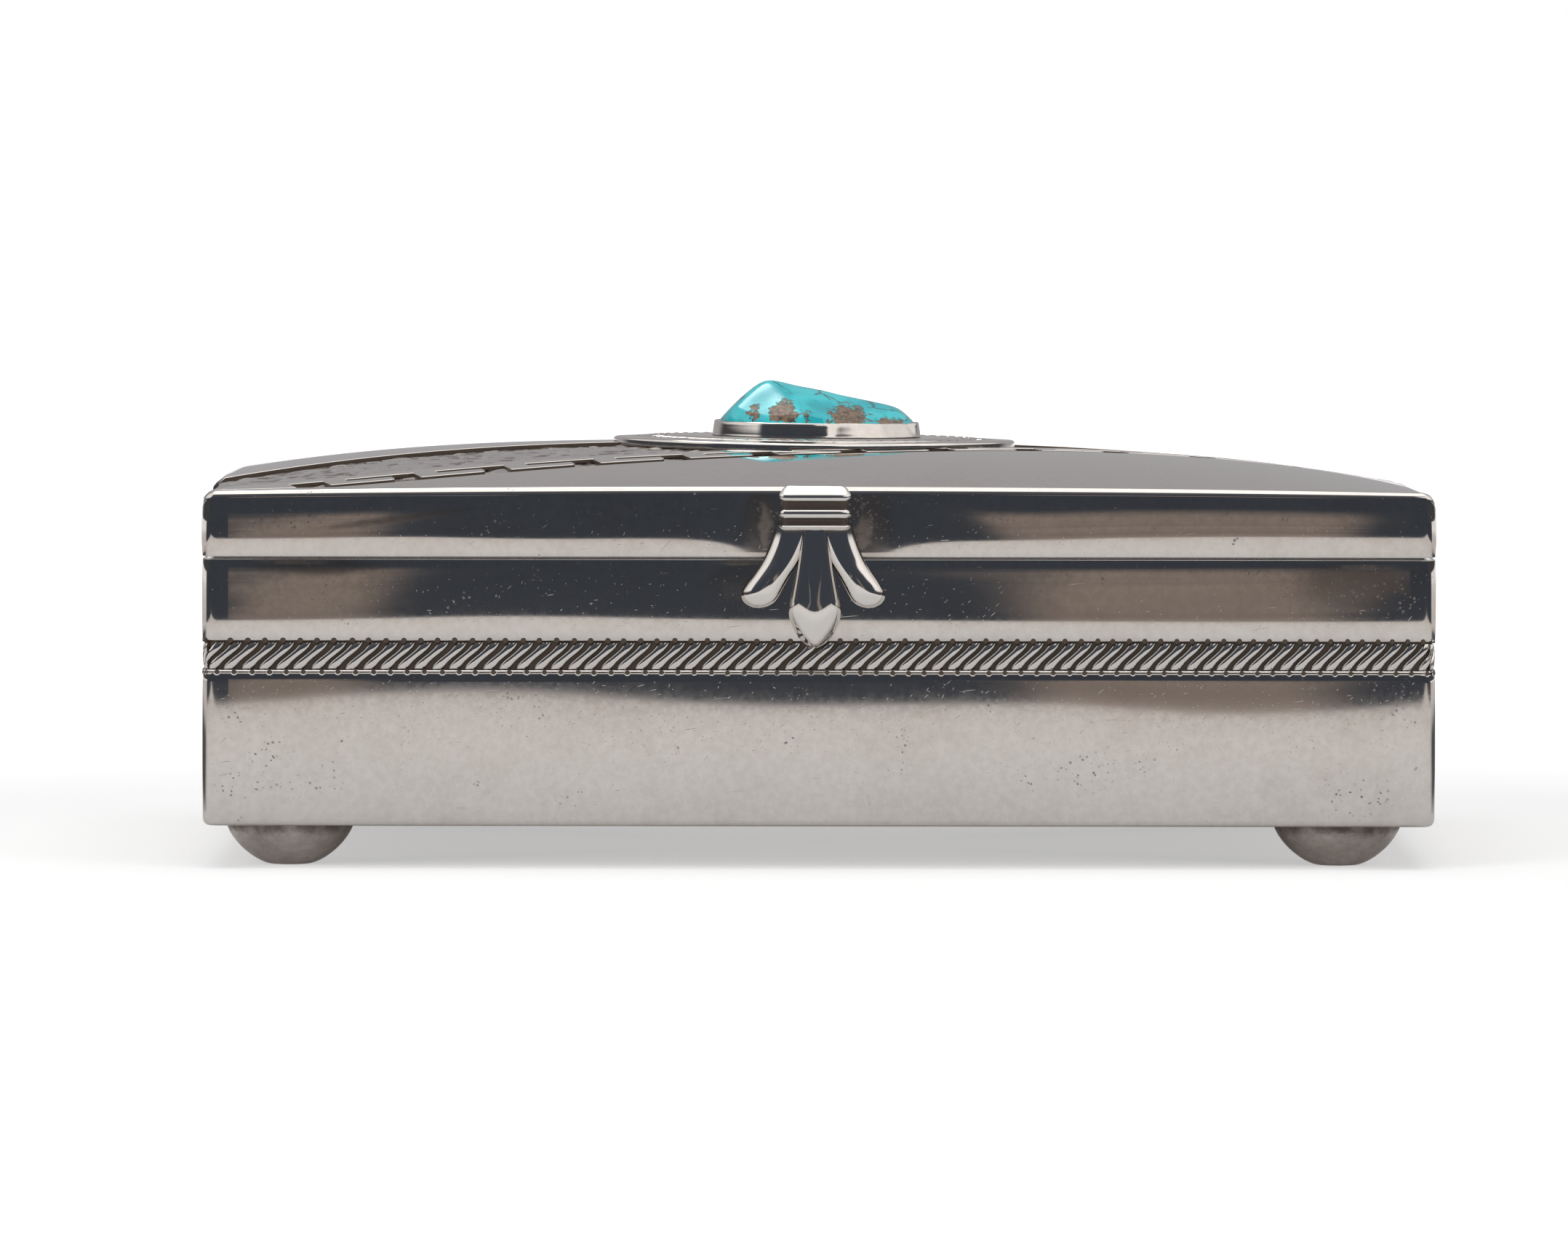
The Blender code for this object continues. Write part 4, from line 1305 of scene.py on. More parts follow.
def across_widths(outline: Array) -> Array:
    """How far it is from each point of an anticlockwise outline straight in to the other side."""
    inward = -outline_normals(outline)
    start, end = outline, np.roll(outline, -1, axis=0)
    span = end - start
    widths = np.full(len(outline), 1.0)
    for i, (place, way) in enumerate(zip(outline, inward)):
        offset = start - place
        cross = way[0] * span[:, 1] - way[1] * span[:, 0]
        cross = np.where(np.abs(cross) < 1e-12, np.inf, cross)
        far = (offset[:, 0] * span[:, 1] - offset[:, 1] * span[:, 0]) / cross
        along = (offset[:, 0] * way[1] - offset[:, 1] * way[0]) / cross
        hits = far[(along >= 0) & (along <= 1) & (far > 1e-6)]
        if len(hits):
            widths[i] = hits.min()
    return widths


@dataclass(frozen=True)
class CutSheet:
    """Cuts pieces out of the polished sheet over the lid."""

    thickness: float = 0.46 * MM
    cut_edge: float = 0.10 * MM
    lid_edge: float = 0.95 * MM
    skirt: float = 0.34 * MM
    spacing: float = 1.6 * MM

    def on_edge(self, outline: Array) -> Array:
        """1 where a point lies on the lid's own edge, 0 on a cut."""
        gap = np.minimum(HALF_WIDTH - np.abs(outline[:, 0]), HALF_DEPTH - np.abs(outline[:, 1]))
        return 1 - smooth_step(gap, 0.2 * MM, 0.9 * MM)

    def edge_reach(self, outline: Array) -> Array:
        """How far in the edge is rounded at each point: more on the lid's own edge than on a cut."""
        reach = self.cut_edge + (self.lid_edge - self.cut_edge) * self.on_edge(outline)
        reach = np.minimum(reach, 0.75 * across_widths(outline))
        near = np.array([np.roll(reach, step) for step in (-2, -1, 0, 1, 2)])
        low = near.min(0)
        return (low + np.roll(low, 1) + np.roll(low, -1)) / 3

    def mesh(self, name: str, outline: Array) -> Mesh:
        """A piece of the sheet.

        Args:
            name: The mesh's name.
            outline: Its outline, anticlockwise.

        Returns:
            The mesh, with the skin's own normals on its top.
        """
        normals, count = outline_normals(outline), len(outline)
        reach = self.edge_reach(outline)
        thick = self.thickness + self.skirt * self.on_edge(outline)
        drop = np.minimum(reach, thick * 0.96)
        rows = [(0.0, 0.0, thick)] + [(1 - cos(t), sin(t), drop * (1 - sin(t)))
                                      for t in np.linspace(0, pi / 2, 7)]
        points, bends = [], []
        for share, rise, low in rows:
            ring = outline - normals * (reach * share)[:, None]
            points.append(at_height(ring, SKIN.height(*ring.T) - low))
            bend = at_height(normals * sqrt(max(0.0, 1 - rise * rise)), 0.0) + SKIN.normals(*ring.T) * rise
            bends.append(bend / np.linalg.norm(bend, axis=1)[:, None])
        inside, triangles = self.fill(ring, self.spacing)
        below, under_triangles = self.fill(outline, self.spacing * 2.5)
        points += [at_height(inside, SKIN.height(*inside.T)),
                   at_height(below, SKIN.height(*below.T) - self.thickness)]
        bends.append(SKIN.normals(*inside.T))
        faces = []
        for row in range(len(rows) - 1):
            faces += band_faces(row * count, (row + 1) * count, count)
        top, under = (len(rows) - 1) * count, (len(rows) - 1) * count + len(inside)
        faces += [tuple(top + i for i in triangle) for triangle in triangles]
        tops = len(faces)
        faces += [tuple(i if i < count else under + i for i in reversed(triangle))
                  for triangle in under_triangles]
        places = np.concatenate(points)
        grime = np.zeros(len(places))
        grime[:2 * count] = np.tile(0.80 * (self.on_edge(outline) < 0.5), 2)
        mesh = MeshDraft().add(places, faces, grime=grime).finish(name, 180, outward=False)
        up, down = np.concatenate(bends).tolist(), (-SKIN.normals(*places[:, :2].T)).tolist()
        mesh.normals_split_custom_set([
            (up if number < tops else down)[vertex]
            for number, polygon in enumerate(mesh.polygons) for vertex in polygon.vertices])
        return mesh

    def fill(self, outline: Array, spacing: float) -> tuple[Array, list[Face]]:
        """Fill an outline with triangles over an even grid of points.

        Args:
            outline: Its points, anticlockwise.
            spacing: The grid's step.

        Returns:
            The points inside it, and the triangles, whose numbers count the outline's points first.
        """
        low, high = outline.min(0) + spacing / 2, outline.max(0)
        xs, ys = (np.arange(start, end, spacing) for start, end in zip(low, high))
        grid = np.array([(x, y) for y in ys for x in xs]).reshape(-1, 2)
        keep = np.zeros(len(grid), bool)
        closest = np.full(len(grid), np.inf)
        for a, b in zip(outline, np.roll(outline, -1, axis=0)):
            span = b - a
            length = float(np.dot(span, span))
            if length < 1e-18:
                continue
            crosses = (a[1] > grid[:, 1]) != (b[1] > grid[:, 1])
            keep ^= crosses & (grid[:, 0] < a[0] + (grid[:, 1] - a[1]) * span[0] / (span[1] or np.inf))
            t = np.clip(((grid - a) @ span) / length, 0, 1)
            closest = np.minimum(closest, np.linalg.norm(grid - a - t[:, None] * span, axis=1))
        grid = grid[keep & (closest > spacing * 0.35)]
        count = len(outline)
        points = [Vector(p) for p in np.concatenate((outline, grid))]
        edges = [(i, (i + 1) % count) for i in range(count)]
        out = geometry.delaunay_2d_cdt(points, edges, [], 1, 1e-9)
        origins = [
            made[0] if made else min(range(count), key=lambda k: (points[k] - spot).length)
            for spot, made in zip(out[0], out[3])]
        triangles = []
        for face in out[2]:
            ids = tuple(origins[i] for i in face)
            if len(set(ids)) < 3:
                continue
            a, b, c = (points[i] for i in ids)
            area = (b.x - a.x) * (c.y - a.y) - (b.y - a.y) * (c.x - a.x)
            triangles.append(ids if area > 0 else ids[::-1])
        return grid, triangles


@dataclass(frozen=True)
class LidShell:
    """The lid's side, its hammered plate and the polished sheet over it."""

    plan: BoxPlan = BoxPlan()
    sash: Sash = Sash()
    cutter: CutSheet = CutSheet()
    swell: float = 0.129 * MM
    wobble: float = 0.16 * MM
    edge: float = 0.09 * MM
    wall: float = 1.1 * MM
    under_sheet: float = 0.47 * MM
    plate: float = 1.0 * MM
    dent_size: float = 1.9 * MM
    dent_depth: float = 0.34 * MM
    clasp_calm: float = 13 * MM
    blots: tuple[Blot, ...] = (
        Blot(Mark.HAZE, -52, 43.2, 11, 0.5, 0.8, 0.13),
        # These five, beside and behind the thumb piece, are real tarnish with a painted dark reflection of the
        # thumb piece over it.
        Blot(Mark.HAZE, -6.8, 42.4, 2.6, 5.5, 0.95),
        Blot(Mark.HAZE, 6.0, 42.4, 3.2, 5.5, 0.95),
        Blot(Mark.GRIME, -6.6, 42.2, 1.7, 4.6, 0.46),
        Blot(Mark.GRIME, 5.6, 42.4, 1.8, 4.6, 0.46),
        Blot(Mark.GRIME, -0.5, 41.0, 4.6, 3.5, 0.75),
        Blot(Mark.SPECKS, -5.8, 44.0, 1.6, 2.5, 0.9),
        Blot(Mark.SPECKS, 5.2, 44.0, 1.8, 2.5, 0.9),
        Blot(Mark.SPECKS, -66, 43.6, 4, 1.5, 0.8),
    )

    def rim_mesh(self) -> Mesh:
        """The bent strip of the lid's side, calm beside the thumb piece."""
        plan, normals = self.plan.stations()
        calm = np.exp(-(((plan[:, 0] - ORNAMENT_X) / self.clasp_calm) ** 2)) * (plan[:, 1] < 0)
        start = LID_BOTTOM + self.edge
        top = SKIN.height(*plan.T) - self.under_sheet - self.cutter.skirt
        rows = [(self.edge * (1 - sin(t)), start - self.edge * cos(t))
                for t in np.linspace(0, pi / 2, 5)[:-1]]
        for share in np.linspace(0, 1, 15):
            inset = -self.swell * (4 * share * (1 - share)) * (1 - calm)
            rows.append((inset, start + (top - start) * share))
        rings = [self.plan.ring(inset, height, (30 * MM, self.wobble, 7.7), calm) for inset, height in rows]
        inner_top = SKIN.height(*(plan - normals * self.wall).T) - self.under_sheet
        for inset, height in ((0.0, inner_top), (0.0, LID_BOTTOM + 0.1 * MM), (0.1 * MM, LID_BOTTOM)):
            rings.append(self.plan.ring(self.wall - inset, height))
        marks = front_marks(np.concatenate(rings), self.blots)
        return MeshDraft().add_rings(rings, closed=True, **marks).finish("lid_side")

    def dent_tree(self) -> Tree:
        """The node tree that hammers dents into the marked part of a plate.

        Returns:
            The tree, with inputs for the size and depth of the dents, their seed and the finish.
        """
        inputs = {"Plate": SHAPE, "Dent Size": 0.002, "Dent Depth": 0.0002, "Seed": 3.0, "Finish": FINISH}
        bench, given = new_group("hammer_dents", "GeometryNodeTree", inputs, {"Shape": SHAPE})
        cells = bench.get(
            "ShaderNodeTexVoronoi", bench.get("GeometryNodeInputPosition"), W=given["Seed"],
            Scale=bench.math("DIVIDE", 1.0, given["Dent Size"]), Smoothness=0.35,
            voronoi_dimensions="4D", feature="SMOOTH_F1")
        mask = bench.get("GeometryNodeInputNamedAttribute", "hammered", data_type="FLOAT")
        low = (bench.math("POWER", cells, 2.0) - 0.45) * given["Dent Depth"]
        hollow = bench.step(cells, 0.34, 0.58, 0.80, 0.0) * mask
        # The plate's marks so far, with the painted shade at the sash's walls among them.
        dirt = bench.get("GeometryNodeInputNamedAttribute", Mark.GRIME.value, data_type="FLOAT")
        marked = bench.get(
            "GeometryNodeStoreNamedAttribute", Geometry=given["Plate"], Name=Mark.GRIME.value,
            Value=bench.most(dirt, hollow))
        moved = bench.get("GeometryNodeSetPosition", Geometry=marked, Offset=bench.xyz(z=low * mask))
        return bench.put_shape(moved, given["Finish"])

    def plate_mesh(self, finish: Material) -> Mesh:
        """The domed plate, with fine rows and dents where the sash lies open, and painted shade at the foot of
        the sash's walls.
        """
        sash, inset = self.sash, self.wall + 0.02 * MM
        half_x, half_y = HALF_WIDTH - inset, HALF_DEPTH - inset
        c, s = cos(sash.tilt), sin(sash.tilt)
        xs = np.linspace(-half_x, half_x, 380)
        near = np.clip((-sash.near + xs * s) / c - 1.5 * MM, -half_y + 1 * MM, half_y)
        far = np.clip((sash.far + xs * s) / c + 1.5 * MM, -half_y + 2 * MM, half_y - 1 * MM)
        front, back = np.linspace(-half_y, near, 7)[:-1], np.linspace(far, half_y, 7)[1:]
        ys = np.concatenate((front, np.linspace(near, far, 80), back)).T
        xs = np.repeat(xs[:, None], ys.shape[1], axis=1)
        top = SKIN.height(xs, ys) - self.under_sheet - 0.01 * MM
        points = np.concatenate([
            np.column_stack((xs.ravel(), ys.ravel(), z.ravel())) for z in (top, top - self.plate)])
        total, number = ys.size, np.arange(ys.size).reshape(ys.shape)
        quads = np.stack((number[:-1, :-1], number[1:, :-1], number[1:, 1:], number[:-1, 1:]),
                         axis=-1).reshape(-1, 4)
        faces = np.stack((quads, total + quads[:, (0, 3, 2, 1)]), axis=1).reshape(-1, 4).tolist()
        border = np.concatenate((number[:, 0], number[-1, 1:], number[-2::-1, -1], number[0, -2:0:-1]))
        after = np.roll(border, -1)
        faces += np.column_stack((after, border, total + border, total + after)).tolist()
        v = -xs * s + ys * c
        hammered = smooth_step(v, -sash.near - 0.4 * MM, -sash.near + 0.2 * MM)
        hammered = hammered * (1 - smooth_step(v, sash.far - 0.2 * MM, sash.far + 0.4 * MM))
        edge_gap = np.minimum(np.abs(v + sash.near), np.abs(v - sash.far))
        # Painted shade: the open floor darkens towards the foot of the sash's walls.
        shade = 0.46 * (1 - smooth_step(edge_gap, 0.0, 0.7 * MM)) * (hammered > 0.2)
        hammered = hammered * smooth_step(edge_gap, 0.1 * MM, 1.2 * MM)
        under = np.zeros(total)
        grime = np.concatenate((shade.ravel(), under))
        mesh = MeshDraft().add(points, faces, grime=grime).finish("hammered_plate", 50)
        layer = mesh.attributes.new("hammered", "FLOAT", "POINT")
        layer.data.foreach_set("value", np.concatenate((hammered.ravel(), under)))
        values = {"Dent Size": self.dent_size, "Dent Depth": self.dent_depth, "Seed": 3.0, "Finish": finish}
        return grown(mesh, self.dent_tree(), values)

    def front_outline(self, plan: Array, part: Array) -> Array:
        """The front field's outline: up to the sash, and left of it along the front edge.

        Args:
            plan: The lid's outline, from its front left corner.
            part: The part of it in front of the sash.

        Returns:
            The outline, anticlockwise.
        """
        shelf = self.sash.shelf - HALF_DEPTH
        bend = (shelf * cos(self.sash.tilt) + self.sash.near) / sin(self.sash.tilt)
        corner = plan[:BoxPlan().corner_steps + 1]
        rest = np.roll(part, -int(part[:, 0].argmin()), axis=0)[1:]
        return np.concatenate(([(bend, shelf), (-HALF_WIDTH, shelf)], corner, rest))

    def build(self, finishes: Finishes) -> None:
        """Build and dress the side, the plate and the three parts of the sheet."""
        fit("lid_side", self.rim_mesh(), finishes.wall, Body.LID, Slot.POLISHED, "lid_rim")
        plate = self.plate_mesh(finishes.hammered)
        fit("hammered_plate", plate, finishes.hammered, Body.LID, Slot.OXIDISED, "lid_plate")
        across = Vector((-sin(self.sash.tilt), cos(self.sash.tilt), 0))
        plan = BoxPlan(spacing=200 * MM).stations()[0]
        corner, x, y = Vector((HALF_WIDTH, HALF_DEPTH, 0)), Vector((1, 0, 0)), Vector((0, 1, 0))
        walls = [(corner, x), (-corner, -x), (corner, y), (-corner, -y)]
        walls.append((Vector((0, self.sash.shelf + self.sash.seam - HALF_DEPTH, 0)), -y))
        parts = (
            ("front_field", "near_field", self.front_outline(plan,
                clipped(plan, [(-across * self.sash.near, across)]))),
            ("back_field", "far_field", clipped(plan, [(across * self.sash.far, -across)])),
            ("running_fret", "fret_strip", clipped(self.sash.fret(), walls)),
        )
        for name, node, outline in parts:
            mesh = self.cutter.mesh(name, eased(outline, 0.16 * MM, 1.5 * MM))
            fit(name, mesh, finishes.lid, Body.LID, Slot.POLISHED, node)


@dataclass(frozen=True)
class Medallion:
    """The oval plate on the crown, with strokes between two engraved lines."""

    half_width: float = 25.5 * MM
    half_depth: float = 19.5 * MM
    rise: float = 0.7 * MM
    edge_width: float = 0.45 * MM
    edge_height: float = 0.62 * MM
    dome_reach: float = 9.5 * MM
    bevel: float = 2.6 * MM
    border: float = 3.4 * MM
    line_width: float = 0.5 * MM
    line_depth: float = 0.22 * MM
    strokes: int = 66
    stroke_length: float = 2.6 * MM
    stroke_width: float = 1.15 * MM
    stroke_height: float = 0.26 * MM
    stroke_sink: float = 0.2 * MM

    def seat(self, x: object) -> Array:
        """Height of the flat top, which leans as the lid does."""
        return float(SKIN.height(ORNAMENT_X, 0.0)) + self.rise - SKIN.lean * (x - ORNAMENT_X) / HALF_WIDTH

    def oval(self, offset: float) -> tuple[Array, Array]:
        """Points round the plate, drawn in by that offset."""
        turns = around(160)
        return ORNAMENT_X + (self.half_width - offset) * np.cos(turns), (self.half_depth
            - offset) * np.sin(turns)

    def top_height(self, x: object, y: object, offset: float) -> Array:
        """Height of the softly domed top at that place, offset in from the edge."""
        share = float(smooth_step(offset, self.edge_width, self.dome_reach))
        share = 1 - (1 - share) ** 1.5
        return (SKIN.height(x, y) + self.edge_height) * (1 - share) + self.seat(x) * share

    def stand(self, offset: float) -> float:
        """How far the top stands over its seat, on average, that far in from the edge."""
        x, y = self.oval(offset)
        return float(np.mean(self.top_height(x, y, offset) - self.seat(x)))

    def under_height(self, x: Array, y: Array) -> Array:
        """Height of the underside at those places: on the sheet, and lower over the open sash."""
        sash = Sash()
        v = y * cos(sash.tilt) - x * sin(sash.tilt)
        near = smooth_step(v, sash.strip_back(), sash.strip_back() + 0.3 * MM)
        over_sash = near * (1 - smooth_step(v, sash.far - 0.3 * MM, sash.far))
        return SKIN.height(x, y) + 0.02 * MM - 0.49 * MM * over_sash

    def plate_rings(self) -> tuple[list[Array], list[float]]:
        """The rings of the plate, from under its middle to over it, and the grime on each."""
        rings, grime = [], []
        for share in (0.1, 0.3, 0.5, 0.7, 0.9, 1.0):
            x, y = self.oval(self.half_depth * (1 - share))
            rings.append(np.column_stack((x, y, self.under_height(x, y))))
            # Painted shade: the lowest ring, at the rim's foot on the sheet, is darkened.
            grime.append(0.7 * (share == 1.0))
        low = self.edge_height - self.edge_width * 0.8
        for turn in np.linspace(0, pi / 2, 7):
            x, y = self.oval(self.edge_width * (1 - cos(turn)))
            rings.append(np.column_stack((x, y,
                                          SKIN.height(x, y) + (low + self.edge_width * 0.8 * sin(turn)))))
            grime.append(0.0)
        line = ((0.25, 0.0, 0.0), (0.55, 0.55, 0.5), (1.0, 1.0, 1.0), (1.45, 0.55, 0.5), (1.75, 0.0, 0.0))
        outer, inner = ([
            (start + self.line_width * share, self.line_depth * drop, dirt) for share, drop, dirt in line
        ] for start in (self.bevel, self.bevel + self.border))
        tops = [(offset * MM, 0.0, 0.0) for offset in (1.3, 2.0)] + outer
        tops += [(self.bevel + offset * MM, self.stroke_sink, 1.0) for offset in (1.2, 2.0, 2.8)] + inner
        tops += [(offset * MM, 0.0, 0.0) for offset in (8, 11, 14, 17)]
        for offset, drop, dirt in tops:
            x, y = self.oval(offset)
            rings.append(np.column_stack((x, y, self.top_height(x, y, offset) - drop)))
            grime.append(dirt)
        return rings, grime

    def stroke_mesh(self) -> Mesh:
        """One raised stroke, along X, at z = 0."""
        rings = []
        for v in np.linspace(-1, 1, 6):
            half = self.stroke_width / 2 * (1 - 0.75 * abs(v) ** 2.5)
            x, ring = v * self.stroke_length / 2, []
            for u in np.linspace(-1, 1, 5):
                dome = sqrt(max(0.0, 1 - u * u)) * (1 - 0.6 * abs(v) ** 3)
                ring.append((x, half * u, self.stroke_height * dome))
            rings.append(ring + [(x, half, -0.1 * MM), (x, -half, -0.1 * MM)])
        return MeshDraft().add_rings(rings).finish("stroke", 60)

    def stroke_tree(self) -> Tree:
        """The node tree that lays strokes round the border.

        Returns:
            The tree, with inputs for the oval's radii, the count, the slant, the lean and the finish.
        """
        inputs = {
            "Stroke": SHAPE, "Count": 60, "Half Width": 0.02, "Half Depth": 0.015, "Slant": 0.6, "Lean": 0.0,
            "Fall": 0.0, "Finish": FINISH,
        }
        bench, given = new_group("border_strokes", "GeometryNodeTree", inputs, {"Shape": SHAPE})
        wide, deep = given["Half Width"], given["Half Depth"]
        circle = bench.get("GeometryNodeCurvePrimitiveCircle", Resolution=128, Radius=1.0)
        oval = bench.get("GeometryNodeTransform", Geometry=circle, Scale=bench.xyz(wide, deep, 1.0))
        points = bench.outputs("GeometryNodeCurveToPoints", Curve=oval, Count=given["Count"])
        turned = bench.get("FunctionNodeAlignRotationToVector", Vector=points["Tangent"], axis="X",
                           pivot_axis="Z")
        slant = bench.get("FunctionNodeEulerToRotation", bench.xyz(z=given["Slant"]))
        both = bench.get("FunctionNodeRotateRotation", turned, slant, rotation_space="LOCAL")
        placed = bench.get(
            "GeometryNodeInstanceOnPoints", Points=points["Points"], Instance=given["Stroke"], Rotation=both)
        real = bench.get("GeometryNodeRealizeInstances", Geometry=placed)
        place = bench.axes(bench.get("GeometryNodeInputPosition"))
        across, along = place["X"] / wide, place["Y"] / deep
        fall = (bench.math("SQRT", across * across + along * along) - 1.0) * given["Fall"]
        drop = bench.xyz(z=place["X"] * given["Lean"] - fall)
        return bench.put_shape(bench.get("GeometryNodeSetPosition", Geometry=real, Offset=drop),
                               given["Finish"])

    def build(self, finishes: Finishes) -> None:
        """Build and dress the plate."""
        middle = self.bevel + self.line_width + self.border / 2
        base = self.stand(middle)
        strokes = grown(self.stroke_mesh(), self.stroke_tree(), {
            "Count": self.strokes,
            "Half Width": self.half_width - middle,
            "Half Depth": self.half_depth - middle,
            "Slant": 0.75,
            "Lean": -SKIN.lean / HALF_WIDTH,
            "Fall": (base - self.stand(middle - 1 * MM)) / (1 * MM) * (self.half_depth - middle),
            "Finish": finishes.ornament,
        })
        rings, grime = self.plate_rings()
        draft = MeshDraft().add_rings(rings, grime=np.repeat(grime, len(rings[0])))
        height = float(self.seat(ORNAMENT_X)) + base - self.stroke_sink
        mesh = draft.take(strokes, Matrix.Translation((ORNAMENT_X, 0, height))).finish("oval_medallion", 45)
        fit("oval_medallion", mesh, finishes.ornament, Body.LID, Slot.POLISHED, "medallion")


@dataclass(frozen=True)
class SetStone:
    """The turquoise and the bezel round it."""

    shift: float = -0.2 * MM
    half_width: float = 12.4 * MM
    half_depth: float = 9.8 * MM
    taper: float = 0.12
    girdle: float = 1.15 * MM
    peak: float = 6.6 * MM
    peak_side: float = 6.3 * MM
    peak_front: float = 1.0 * MM
    facets: tuple[tuple[float, float, float], ...] = (
        (180, 0.78, 0.0),
        (180, 1.2, 1.54),
        (0, 0.21, 0.0),
        (0, 1.0, 13.0),
        (-110, 0.66, 0.0),
        (-55, 0.46, 0.0),
        (75, 0.5, 0.0),
        (130, 0.62, 0.0),
    )
    patches: tuple[tuple[float, float, float, float], ...] = (
        (-8.1, 0.9, 0.9, 4.6), (-4.2, 2.0, 1.0, 5.4), (-1.6, 0.9, 0.7, 4.0), (3.8, 2.4, 1.0, 4.8),
        (9.3, 1.9, 0.8, 2.9))
    softness: float = 0.36 * MM
    wall: float = 0.6 * MM
    cup_floor: float = 0.4 * MM
    cup_height: float = 1.9 * MM
    flare: float = 0.15 * MM
    clearance: float = 0.12 * MM
    seam: float = 0.2 * MM
    medallion: Medallion = Medallion()

    def outline(self, offset: float, share: float = 1.0, count: int = 120) -> tuple[Array, Array]:
        """Points round the stone, widened by offset: an oval that narrows to the right."""
        turns = around(count)
        x = self.shift + share * (self.half_width + offset) * np.cos(turns)
        return x, share * (self.half_depth + offset) * np.sin(turns) * (1 - self.taper * np.cos(turns))

    def height(self, x: Array, y: Array) -> Array:
        """Height of the stone over its base: facets that fall from one peak, with soft ridges."""
        dx, dy, soft = x - self.shift + self.peak_side, y + self.peak_front, self.softness
        falls = np.array([
            k * (dx * cos(radians(a)) + dy * sin(radians(a))) - c * MM for a, k, c in self.facets])
        deepest = falls.max(0)
        total = deepest + soft * np.log(np.exp((falls - deepest) / soft).sum(0))
        return np.minimum(np.maximum(self.girdle, self.peak - (total - soft * log(3))), self.peak)

    def stone_mesh(self) -> Mesh:
        """The stone, from its flat underside up."""
        base = self.cup_floor + self.seam
        rings, grime = [], []
        for share, rise in ((0.6, 0.0), (0.97, 0.0), (1.0, 0.25), (1.0, self.girdle / MM - 0.25)):
            x, y = self.outline(0, share)
            rings.append(np.column_stack((x, y, self.medallion.seat(x) + base + rise * MM)))
            grime.append(np.zeros(len(x)))
        for share in (0.988, 0.965, 0.94, 0.9, 0.86, 0.82, 0.77, 0.72) + tuple(k * 6 / 100
                for k in range(11, 0, -1)):
            x, y = self.outline(0, share)
            lift = self.height(x, y)
            lift = lift + wander(np.column_stack((x, y, lift)), 4 * MM, 0.10 * MM, 2.0) * (1 - share) * 2
            rings.append(np.column_stack((x, y,
                                          self.medallion.seat(x) + base + np.minimum(lift, self.peak))))
            dirt = np.zeros(len(x))
            for middle, reach, strength, top in self.patches:
                near = np.exp(-(((x - middle * MM) / (reach * MM)) ** 2) ** 1.2)
                low = 1 - smooth_step(lift, 0.38 * top * MM, top * MM)
                dirt = np.maximum(dirt, strength * near * low * (y < 0))
            grime.append(dirt)
        return MeshDraft().add_rings(rings, grime=np.concatenate(grime)).finish("turquoise_stone", 60)

    def bezel_mesh(self) -> Mesh:
        """The cup round the stone, its rim pressed a little unevenly over the girdle."""
        outer, reach = self.clearance + self.wall, self.wall * 0.42
        rows = [
            (outer + self.flare, 0.02 * MM, 0.6, 0.0),
            (outer + self.flare, 0.12 * MM, 0.2, 0.0),
            (outer + 0.8 * self.flare, 0.2 * MM, 0.1, 0.0),
        ]
        for number, share in enumerate(np.linspace(0.2, 0.75, 5), 1):
            spread = self.flare * (1 - share) ** 1.4
            offset = self.clearance + self.wall * (1 - 0.25 * share**2) + spread
            rows.append((offset, self.cup_height * share, 0.0, number / 6))
        for turn in np.linspace(0.2, pi - 0.3, 7):
            offset = self.clearance + reach + reach * cos(turn)
            rows.append((offset, self.cup_height - reach * (1 - sin(turn)), 0.0, 1.0))
        rows += [
            (self.clearance, self.cup_height * 0.5, 0.8, 0.0),
            (self.clearance, self.cup_floor, 0.8, 0.0),
            (-4 * MM, self.cup_floor, 0.5, 0.0),
        ]
        turns = around(160)
        lean = smooth_step(np.cos(turns), 0.06, 0.2) * (1 - smooth_step(np.cos(turns), 0.93, 0.99))
        tight = lean * (np.sin(turns) < 0)
        rings = []
        for offset, rise, _, free in rows:
            x, y = self.outline(offset, count=160)
            tight_x, tight_y = self.outline(offset - 0.55 * MM * free, count=160)
            x, y = x + (tight_x - x) * tight, y + (tight_y - y) * tight
            points = np.column_stack((x, y, self.medallion.seat(x) + rise))
            points[:, 2] += np.minimum(wander(points, 3.2 * MM, 0.10 * MM, 5.0) * free, 0.02 * MM)
            rings.append(points)
        grime = np.repeat([dirt for _, _, dirt, _ in rows], 160)
        return MeshDraft().add_rings(rings, grime=grime).finish("stone_bezel", 50)

    def build(self, finishes: Finishes) -> None:
        """Build and dress the stone and the bezel."""
        fit("stone_bezel", self.bezel_mesh(), finishes.ornament, Body.LID, Slot.POLISHED, "bezel_cup")
        fit("turquoise_stone", self.stone_mesh(), finishes.stone, Body.LID, Slot.STONE, "turquoise")


